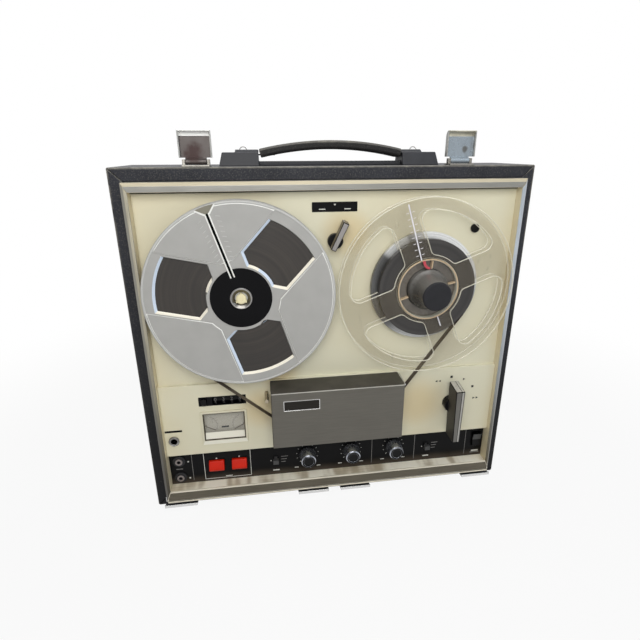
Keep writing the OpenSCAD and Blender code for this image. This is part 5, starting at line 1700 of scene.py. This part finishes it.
    def take_up_trim(self) -> None:
        """Builds the threading lines, the hub ring and the stub of leader tape."""
        box = span("take_up_reel")
        face = box.f1
        lines, half = Form(), self.thread_half
        for angle, (r0, r1) in ((self.thread_angle, self.thread), (self.mark_angle, self.mark)):
            lines.add(Form.slab(r0, r1, face, face + 0.5, -half, half).bevel(0.25).about(box, angle))
        for i in range(self.thread_ticks):
            r = self.thread_from + self.thread_pitch * i
            for low in (-4.2, 1.6):
                tick = Form.slab(r, r + 0.5, face, face + 0.25, low, low + 2.6)
                lines.add(tick.about(box, self.thread_angle))
        lines.piece("take_up_lines", "take_up_reel", THREAD_LINE)
        inner, outer = self.floor_r
        floor_f = face - self.floor_deep
        floor = Form.turned(
            [(inner, floor_f - 0.6), (outer, floor_f - 0.6), (outer, floor_f), (inner, floor_f)], box.x, box.z
        )
        # Only three ribs, at the given angles, in the pale ring finish: painted highlights of the hub's ribs.
        for angle in self.rib_angles:
            rib = Form.slab(inner + 0.1, outer - 0.1, floor_f - 0.2, face - 0.6, -0.55, 0.55).bevel(0.2)
            floor.add(rib.about(box, angle), 1)
        floor.piece("take_up_hub_floor", "take_up_reel", HUB_FLOOR, HUB_RING)
        ring = Form.turned([(29.5, face), (30.9, face), (30.7, face + 0.5), (29.7, face + 0.5)], box.x, box.z)
        ring.piece("take_up_hub_ring", "take_up_reel", HUB_RING)
        curl = [
            (-8.0, 28.6), (-6.6, 24.4), (-4.2, 21.6), (-0.6, 20.6), (0.0, 22.4), (-2.6, 23.6), (-4.4, 26.0),
            (-5.2, 28.9),
        ]
        stub = Form.prism(curl, face + 0.1, face + 1.2).bevel(0.25).move(box.x, 0.0, box.z)
        stub.piece("leader_stub", "take_up_reel", LEADER_PINK)

    def tables(self) -> None:
        """Builds the reel tables and the rubber cap."""
        for node in ("supply_table", "take_up_table"):
            box = span(node)
            form = Form.of_node(node)
            form.paint(1, lambda c, n: -c.y > box.f1 - self.spindle_h and box.away(c) < self.spindle_r)
            form.shell(node, TurnedMetal("turned " + node.replace("_", " "), TABLE_SILVER, box.axis), IVORY)
        cap = span("reel_cap")
        form = Form.of_node("reel_cap", 0.5, 3)
        form.paint(1, lambda c, n: -c.y < cap.f1 - 1.3 and n.y > -0.9)
        # The cone pales towards its upper side: a painted highlight.
        level = cap.axis[1]
        cone = replace(CONE_PLASTIC, dust_and_highlight=(level + 17.0 * MM, level - 6.0 * MM, CONE_HIGHLIGHT))
        form.shell("reel_cap", CAP_RUBBER, cone)

    def packs(self) -> None:
        """Builds both tape packs and the tape between them."""
        for node, deep, pale in (
            ("supply_tape", tint(36, 32, 29), tint(58, 52, 46)),
            ("take_up_tape", tint(34, 32, 31), tint(62, 59, 57)),
        ):
            wound = WoundTape("wound " + node.replace("_", " "), deep, pale, span(node).axis)
            soften(node, wound, width=0.12)
        soften("tape_run", TAPE_STRAND, width=0.0)


@dataclass
class Gauges:
    """Twin meter and counter."""

    bezel: float = 8.6
    shade_w: float = 1.1
    dial_t: float = 0.05
    hub_r: float = 1.2
    arc_r: float = 11.4
    arc: Pair = (-22.0, 62.0)
    arc_ticks: int = 16
    dot_x: float = 7.0
    dots_z: Pair = (4.6, 7.6)
    dot_w: float = 0.7
    word: Pair = (7.6, 2.0)
    digits: str = "0325"
    digit_h: float = 5.6
    digit_in: Pair = (4.6, 5.4)

    def build(self) -> None:
        """Builds the meter and the counter."""
        self.meter()
        self.counter()

    def meter(self) -> None:
        """Builds the meter's case, lens, needles and dial."""
        box, lens = span("meter_housing"), span("meter_lens")
        housing = Form.of_node("meter_housing", 0.25)
        # The front faces below the lens take the paler cream, painted light.
        housing.paint(1, lambda c, n: n.y < -0.5 and c.z < lens.z0)
        housing.shell("meter_housing", METER_CASE, METER_LIT)
        soften("meter_lens", LENS, width=0.1)
        soften("needle_left", NEEDLE, width=0.05)
        soften("needle_right", NEEDLE, width=0.05)
        glass, front = lens.f1 + 0.02, box.f1 - 0.9
        # The sloped bezel under the lens is in the paler cream too, painted light.
        section = [(glass, lens.z0), (front, lens.z0), (front, lens.z0 + 0.4), (glass, lens.z0 + self.bezel)]
        lip = Form.extruded([(lens.x0, -f, z) for f, z in section], (lens.x1 - lens.x0, 0.0, 0.0))
        lip.bevel(0.15).piece("meter_bezel", "meter_housing", METER_LIT)
        shade, line = Form(), self.shade_w
        for x0, x1, z0, z1 in (
            (lens.x0, lens.x0 + line, lens.z0, lens.z1),
            (lens.x1 - line, lens.x1, lens.z0, lens.z1),
            (lens.x0, lens.x1, lens.z1 - 0.7 * line, lens.z1),
            (lens.x0, lens.x1, lens.z0, lens.z0 + 1.2 * line),
        ):
            shade.add(Form.slab(x0, x1, lens.f1, box.f1 - 0.5, z0, z1))
        shade.piece("meter_edge_shade", "meter_housing", METER_SHADE)
        # The dial is darkened as painted shade of its recess.
        dial_f = span("needle_left").f0 - 0.3
        dial = Form.slab(lens.x0, lens.x1, dial_f, dial_f + self.dial_t, lens.z0, lens.z1)
        dial.piece("meter_dial", "meter_housing", METER_DIAL_SHADED)
        self.dial_print(lens, dial_f + self.dial_t)

    def dial_print(self, lens: Span, face: float) -> None:
        """Prints the two scales and the bar between them.

        Args:
            lens: Box of the lens.
            face: Level of the dial.
        """
        ink = Form()
        for name, side in (("needle_left", 1), ("needle_right", -1)):
            needle = span(name)
            x = needle.x0 + self.hub_r if side > 0 else needle.x1 - self.hub_r
            z = needle.z1 - self.hub_r
            for i in range(self.arc_ticks):
                angle = self.arc[0] + (self.arc[1] - self.arc[0]) * i / (self.arc_ticks - 1)
                length = 1.5 if i % 3 == 0 else 0.8
                tick = Form.slab(self.arc_r, self.arc_r + length, face, face + INK_T, -0.22, 0.22).turn(angle)
                if side < 0:
                    bmesh.ops.scale(tick.mesh, verts=tick.mesh.verts, vec=(-1.0, 1.0, 1.0))
                    bmesh.ops.reverse_faces(tick.mesh, faces=tick.mesh.faces)
                ink.add(tick.move(x, 0.0, z))
            for dz in self.dots_z:
                ink.add(Form.mark(x + side * self.dot_x, z + dz, self.dot_w, self.dot_w, face))
        ink.add(Form.mark(lens.x, lens.z0 + self.bezel + 3.2, *self.word, face), 1)
        ink.piece("meter_print", "meter_housing", GREY_INK, BLACK_INK)

    def counter(self) -> None:
        """Builds the counter with its number drums and reset key."""
        soften("counter_housing", HUB_BLACK, width=0.2)
        soften("counter_reset", KNOB_BLACK, width=0.4, segments=3)
        soften("counter_drums", KNOB_BLACK, width=0.2)
        drums = span("counter_drums")
        axis_f = (drums.f0 + drums.f1) / 2
        drum_r = (drums.z1 - drums.z0) / 2
        first, last = drums.x0 + self.digit_in[0], drums.x1 - self.digit_in[1]
        figures = Form()
        for place, shown in enumerate(self.digits):
            x = first + (last - first) * place / (len(self.digits) - 1)
            for step in range(10):
                figure = Form.figure(str((int(shown) + step) % 10), self.digit_h).move(0.0, drum_r, 0.0)
                spin = Matrix.Rotation(math.radians(-36.0 * step), 3, "X")
                bmesh.ops.rotate(figure.mesh, verts=figure.mesh.verts, cent=(0.0, 0.0, 0.0), matrix=spin)
                figures.add(figure.move(x, axis_f, drums.z))
        figures.piece("counter_figures", "counter_drums", GREY_INK)


@dataclass
class Controls:
    """Levers, knobs, buttons, switches and sockets."""

    key_round: float = 0.7
    nub_round: float = 0.4
    blade_round: float = 0.7
    blade_deep: float = 22.0
    blade_foot: float = -35.2
    blade_top: float = 25.4
    blade_slope: float = 0.15
    knob_face_r: float = 5.4
    knob_foot: float = 12.0
    glint_r: Pair = (3.3, 4.6)
    glint_arc: Pair = (195.0, 150.0)
    word_x: Pair = (-179.0, -161.5)
    word_z: Pair = (96.6, 99.0)
    mic_in: float = 6.5

    def build(self) -> None:
        """Builds every control."""
        self.levers()
        self.knobs()
        soften("record_button_left", RED_PLASTIC, width=self.key_round, segments=3)
        soften("record_button_right", RED_PLASTIC, width=self.key_round, segments=3)
        for node in SLIDES:
            soften(node, NUB_GREY, width=self.nub_round, segments=3)
        power = span("power_switch")
        rocker = Form.of_node("power_switch", self.nub_round, 3)
        # The rocker's upper front takes grey, a painted highlight on the black.
        rocker.paint(1, lambda c, n: c.z > power.z + 3.0 and -n.y > 0.3)
        rocker.shell("power_switch", KNOB_BLACK, NUB_GREY)
        self.sockets()

    def levers(self) -> None:
        """Builds both levers with black rounded edges, darker sides and pale tops, painted shade and light,
        and the function lever's strips.
        """
        for node, depth, sides in (
            ("function_lever", 17.95, (LEVER_SIDE, LEVER_FACE)),
            ("speed_lever", 8.45, (SPEED_SIDE, SPEED_FACE)),
        ):
            box = span(node)
            blade = box.f1 - self.blade_deep
            form = Form.of_node(node, 0.0)
            form.bevel(self.blade_round, 2, lambda e: all(-v.co.y > blade for v in e.verts), 3)
            form.paint(1, lambda c, n: -n.y > FACING and -c.y > box.f1 - 0.3)
            form.paint(2, lambda c, n: n.z > FACING and -c.y > box.f1 - 21.0 and c.z > box.z1 - 6.0)
            form.paint(3, lambda c, n: -c.y < box.f1 - depth)
            form.shell(node, *sides, LEVER_TOP, KNOB_BLACK)
        self.lever_lines(span("function_lever"))

    def lever_lines(self, box: Span) -> None:
        """Builds the groove, a black strip of painted shade, and the bright line beside it, a painted
        highlight, down the function lever's front and over its top.

        Args:
            box: Box of the lever.
        """
        foot, top, face = self.blade_foot, self.blade_top, box.f1
        lines = Form.prism([(0.6, foot), (1.1, foot), (1.7, top), (1.1, top)], face, face + INK_T)
        lines.add(Form.prism([(1.1, foot), (2.6, foot), (3.6, top), (1.7, top)], face, face + INK_T), 1)
        over = Form.slab(1.1, 1.7, face - 19.0, face - 0.6, 0.0, INK_T)
        for vert in over.mesh.verts:
            vert.co.z += top + self.blade_slope * (face + vert.co.y) + 0.62
        lines.add(over).move(box.x, 0.0, LEVER_AXIS_Z)
        lines.piece("function_lever_lines", "function_lever", KNOB_BLACK, LEVER_LINE)

    def knobs(self) -> None:
        """Builds the fluted knobs with black middles."""
        for node in KNOBS:
            box = span(node)
            face_r = self.knob_face_r
            form = Form.of_node(node, 0.15)
            form.paint(1, lambda c, n: -c.y > box.f1 - 1.2 and box.away(c) < face_r)
            form.paint(1, lambda c, n: -c.y < box.f0 + self.knob_foot)
            # The flat front ring takes the dark plating, a painted reflection.
            form.paint(2, lambda c, n: -c.y > box.f1 - 0.3 and -n.y > FACING and box.away(c) > face_r)
            form.shell(node, KNOB_CHROME, KNOB_BLACK, DARK_CHROME)

    def sockets(self) -> None:
        """Builds the headphone and microphone sockets with their trim."""
        soften("headphone_jack", DARK_CHROME, width=0.5)
        jack = span("headphone_jack")
        # Painted highlight: a near-white crescent on the lower inner wall; the rest of the collar takes the
        # dark plating, painted shade.
        (inner, outer), back = self.glint_r, jack.f1 - 1.0
        shine = Form.turned(
            [(inner, back), (outer, back), (outer, jack.f1 + 0.1), (inner, jack.f1 - 0.5)],
            jack.x, jack.z, *self.glint_arc, 24,
        )
        shine.bevel(0.15).piece("headphone_glint", "headphone_jack", LATCH_LIP)
        soften("microphone_jacks", BLACK_MOULDING)
        deck_f = span("deck_panel").f1
        bar = Form.slab(*self.word_x, deck_f, deck_f + 0.25, *self.word_z).bevel(0.1, 1)
        bar.piece("headphone_bar", "deck_panel", HUB_BLACK)
        mics = span("microphone_jacks")
        rings = Form()
        for z in (mics.z1 - self.mic_in, mics.z0 + self.mic_in):
            rings.add(Form.turned([(1.9, 2.3), (4.0, 2.3), (3.7, 2.9), (2.1, 2.9)], mics.x, z, steps=40))
        rings.piece("microphone_rings", "microphone_jacks", MIC_RING)


@dataclass
class HeadCover:
    """Cover over the heads, with its brushed plate and bare nameplate."""

    edge: float = 0.5
    plate_t: float = 0.6
    name_x: Pair = (-56.0, -19.6)
    name_z: Pair = (129.2, 140.5)
    name_t: float = 0.9
    name_rim: float = 0.9
    name_sunk: float = 0.35
    guide_r: float = 0.9

    def build(self) -> None:
        """Builds every piece of the cover."""
        box = span("head_cover")
        soften("head_cover", COVER_SHELL, width=0.6, segments=3)
        left, right, top = box.x0 + self.edge, box.x1 - self.edge, box.z1 - self.edge
        face = box.f1 + self.plate_t
        plate = Form.slab(left, right, box.f1, face, box.z0 + self.edge, top)
        plate.bevel(0.25).piece("cover_plate", "head_cover", PLATE_FRONT)
        # Painted highlight: a thin pale strip along the plate's top edge.
        line = Form.slab(left, right, box.f1 + 0.1, face + 0.15, top - 0.7, top + 0.1)
        line.bevel(0.15).piece("cover_top_highlight", "head_cover", LEVER_TOP)
        self.nameplate(face)
        x = box.x1 + 0.4
        front, back = Vector((x, 1.0 - box.f1, box.z1 - 1.2)), Vector((x, -4.0 - box.f0, box.z1 - 0.2))
        Form.rod(front, back, self.guide_r).bevel(0.3).piece("cover_guide", "head_cover", CHROME)

    def nameplate(self, face: float) -> None:
        """Builds the bare plate at the upper left of the cover.

        Args:
            face: Level of the cover's brushed plate.
        """
        rim = Form.slab(*self.name_x, face, face + self.name_t, *self.name_z)
        front = max(rim.mesh.faces, key=lambda side: -side.calc_center_median().y)
        bmesh.ops.inset_individual(rim.mesh, faces=[front], thickness=self.name_rim, depth=0.0)
        bmesh.ops.translate(rim.mesh, verts=front.verts, vec=(0.0, self.name_sunk, 0.0))
        front.material_index = 1
        rim.bevel(0.18).piece("cover_nameplate", "head_cover", CHROME, NAME_FACE)


@dataclass
class Works:
    """What lies behind the deck and under the cover."""

    def build(self) -> None:
        """Gives each inner node its finish."""
        finishes = {
            "chassis_plate": ZINC, "bearings": BRASS, "flywheel": DULL_STEEL, "motor_body": MOTOR_ENAMEL,
            "motor_rotor": ZINC, "drive_belt": BELT_RUBBER, "transformer": IRON, "amplifier_board": BOARD,
            "potentiometers": ZINC, "head_bracket": ZINC, "erase_head": HEAD_METAL, "record_head": HEAD_METAL,
            "pinch_arm": ZINC, "pinch_roller": RUBBER,
        }
        for node, finish in finishes.items():
            dress(node, finish)


@dataclass(frozen=True)
class Lamp:
    """A soft lamp: its place in metres, power in watts, side of its square face and colour."""

    name: str
    place: tuple[float, float, float]
    power: float
    size: float
    colour: tuple[float, float, float]

    def hang(self, aim: Vector) -> None:
        """Hangs the lamp.

        Args:
            aim: Point that it looks at.
        """
        data = bpy.data.lights.new(self.name, "AREA")
        data.energy, data.size, data.color = self.power, self.size, self.colour
        made = bpy.data.objects.new(self.name, data)
        turn = (aim - Vector(self.place)).to_track_quat("-Z", "Y").to_matrix().to_4x4()
        made.matrix_world = Matrix.Translation(self.place) @ turn
        bpy.context.scene.collection.objects.link(made)


@dataclass
class Studio:
    """Pale floor, soft light and the camera of the photograph's view."""

    focal_px: float = 453.43
    middle_px: Pair = (327.39, 313.69)
    frame_px: float = 640.0
    sensor: float = 36.0
    place: tuple[float, float, float] = (-0.06964, -0.42908, 0.37763)
    right: tuple[float, float, float] = (0.98932, -0.14574, -0.00225)
    down: tuple[float, float, float] = (-0.05122, -0.33321, -0.94146)
    forward: tuple[float, float, float] = (0.13646, 0.93152, -0.33711)
    floor_half: float = 6.0
    shadow_r: Pair = (0.35, 0.8)
    shadow_share: float = 0.09
    room_light: Colour = (0.29, 0.29, 0.29, 1.0)
    room_front: Colour = (0.4, 0.39, 0.38, 1.0)
    room_sky: Colour = (0.95, 0.95, 0.95, 1.0)
    sky_deep: Pair = (-0.55, 0.25)
    sky_up: Pair = (0.1, 0.75)
    lamp_aim: tuple[float, float, float] = (0.0, 0.0, 0.18)
    lamps: tuple[Lamp, ...] = (
        Lamp("key", (-0.08, -0.62, 0.6), 3.5, 0.5, (1.0, 0.99, 0.97)),
        Lamp("fill", (1.3, -0.9, 0.9), 6.0, 1.2, (0.8, 0.9, 1.0)),
        Lamp("top", (0.1, 0.3, 1.7), 10.0, 1.2, (1.0, 1.0, 1.0)),
    )

    def build(self) -> None:
        """Builds floor, light and camera."""
        self.camera()
        self.floor()
        self.world()
        for lamp in self.lamps:
            lamp.hang(Vector(self.lamp_aim))
        bpy.context.scene.view_settings.view_transform = "Standard"

    def camera(self) -> None:
        """Sets the camera where the photograph was taken."""
        data = bpy.data.cameras.new("camera")
        data.sensor_width = self.sensor
        data.lens = self.focal_px / self.frame_px * self.sensor
        data.shift_x = (self.frame_px / 2 - self.middle_px[0]) / self.frame_px
        data.shift_y = (self.middle_px[1] - self.frame_px / 2) / self.frame_px
        data.clip_start = 0.01
        made = bpy.data.objects.new("camera", data)
        columns = (Vector(self.right), -Vector(self.down), -Vector(self.forward))
        turn = Matrix(columns).transposed().to_4x4()
        made.matrix_world = Matrix.Translation(Vector(self.place) + Vector((0.0, CASE_LOW.y, 0.0))) @ turn
        bpy.context.scene.collection.objects.link(made)
        bpy.context.scene.camera = made

    def floor(self) -> None:
        """Lays a pale floor that keeps a soft shadow."""
        grid = bmesh.new()
        bmesh.ops.create_grid(grid, x_segments=1, y_segments=1, size=self.floor_half)
        mesh = bpy.data.meshes.new("floor")
        grid.to_mesh(mesh)
        grid.free()
        material = new_material("pale floor")
        graph = Graph(material.node_tree)
        pale = graph.mix(graph.noise(3.0), tint(184, 184, 183), tint(190, 190, 189))
        graph.surface(Base_Color=pale, Roughness=0.9, Specular_IOR_Level=0.1)
        glow = graph.node("ShaderNodeEmission", sockets={"Color": WHITE, "Strength": 1.0})
        x, y, _ = graph.axes()
        far = (x * x + y * y).math("SQRT").rise(*self.shadow_r)
        seen, glossy, passing = graph.rays("Is Camera Ray", "Is Glossy Ray", "Is Transmission Ray")
        seen = seen.most(glossy).most(passing) * (1.0 - self.shadow_share + self.shadow_share * far)
        ends = {0: seen, 1: graph.shader.outputs[0], 2: glow.outputs[0]}
        both = graph.node("ShaderNodeMixShader", sockets=ends)
        graph.feed(graph.tree.nodes["Material Output"].inputs["Surface"], both.outputs[0])
        mesh.materials.append(material)
        made = bpy.data.objects.new("floor", mesh)
        bpy.context.scene.collection.objects.link(made)

    def world(self) -> None:
        """Lights the room evenly, with a white background and a darker room in reflections."""
        world = bpy.data.worlds.new("room")
        world.use_nodes = True
        bpy.context.scene.world = world
        graph = Graph(world.node_tree, "Generated")
        _, deep, up = graph.axes()
        sky = deep.rise(*self.sky_deep).most(up.rise(*self.sky_up))
        room = graph.mix(sky, self.room_front, self.room_sky)
        glossy, seen, passing = graph.rays("Is Glossy Ray", "Is Camera Ray", "Is Transmission Ray")
        light = graph.mix(glossy, self.room_light, room)
        colour = graph.mix(seen.most(passing), light, WHITE)
        graph.feed(graph.tree.nodes["Background"].inputs["Color"], colour)


def main() -> None:
    """Builds the recorder and its studio."""
    logging.basicConfig(level=logging.INFO, format="%(name)s: %(message)s")
    for part in (Studio(), Case(), Front(), Reels(), Gauges(), Controls(), HeadCover(), Works()):
        LOG.info("building %s", type(part).__name__)
        part.build()


if __name__ == "__main__":
    main()
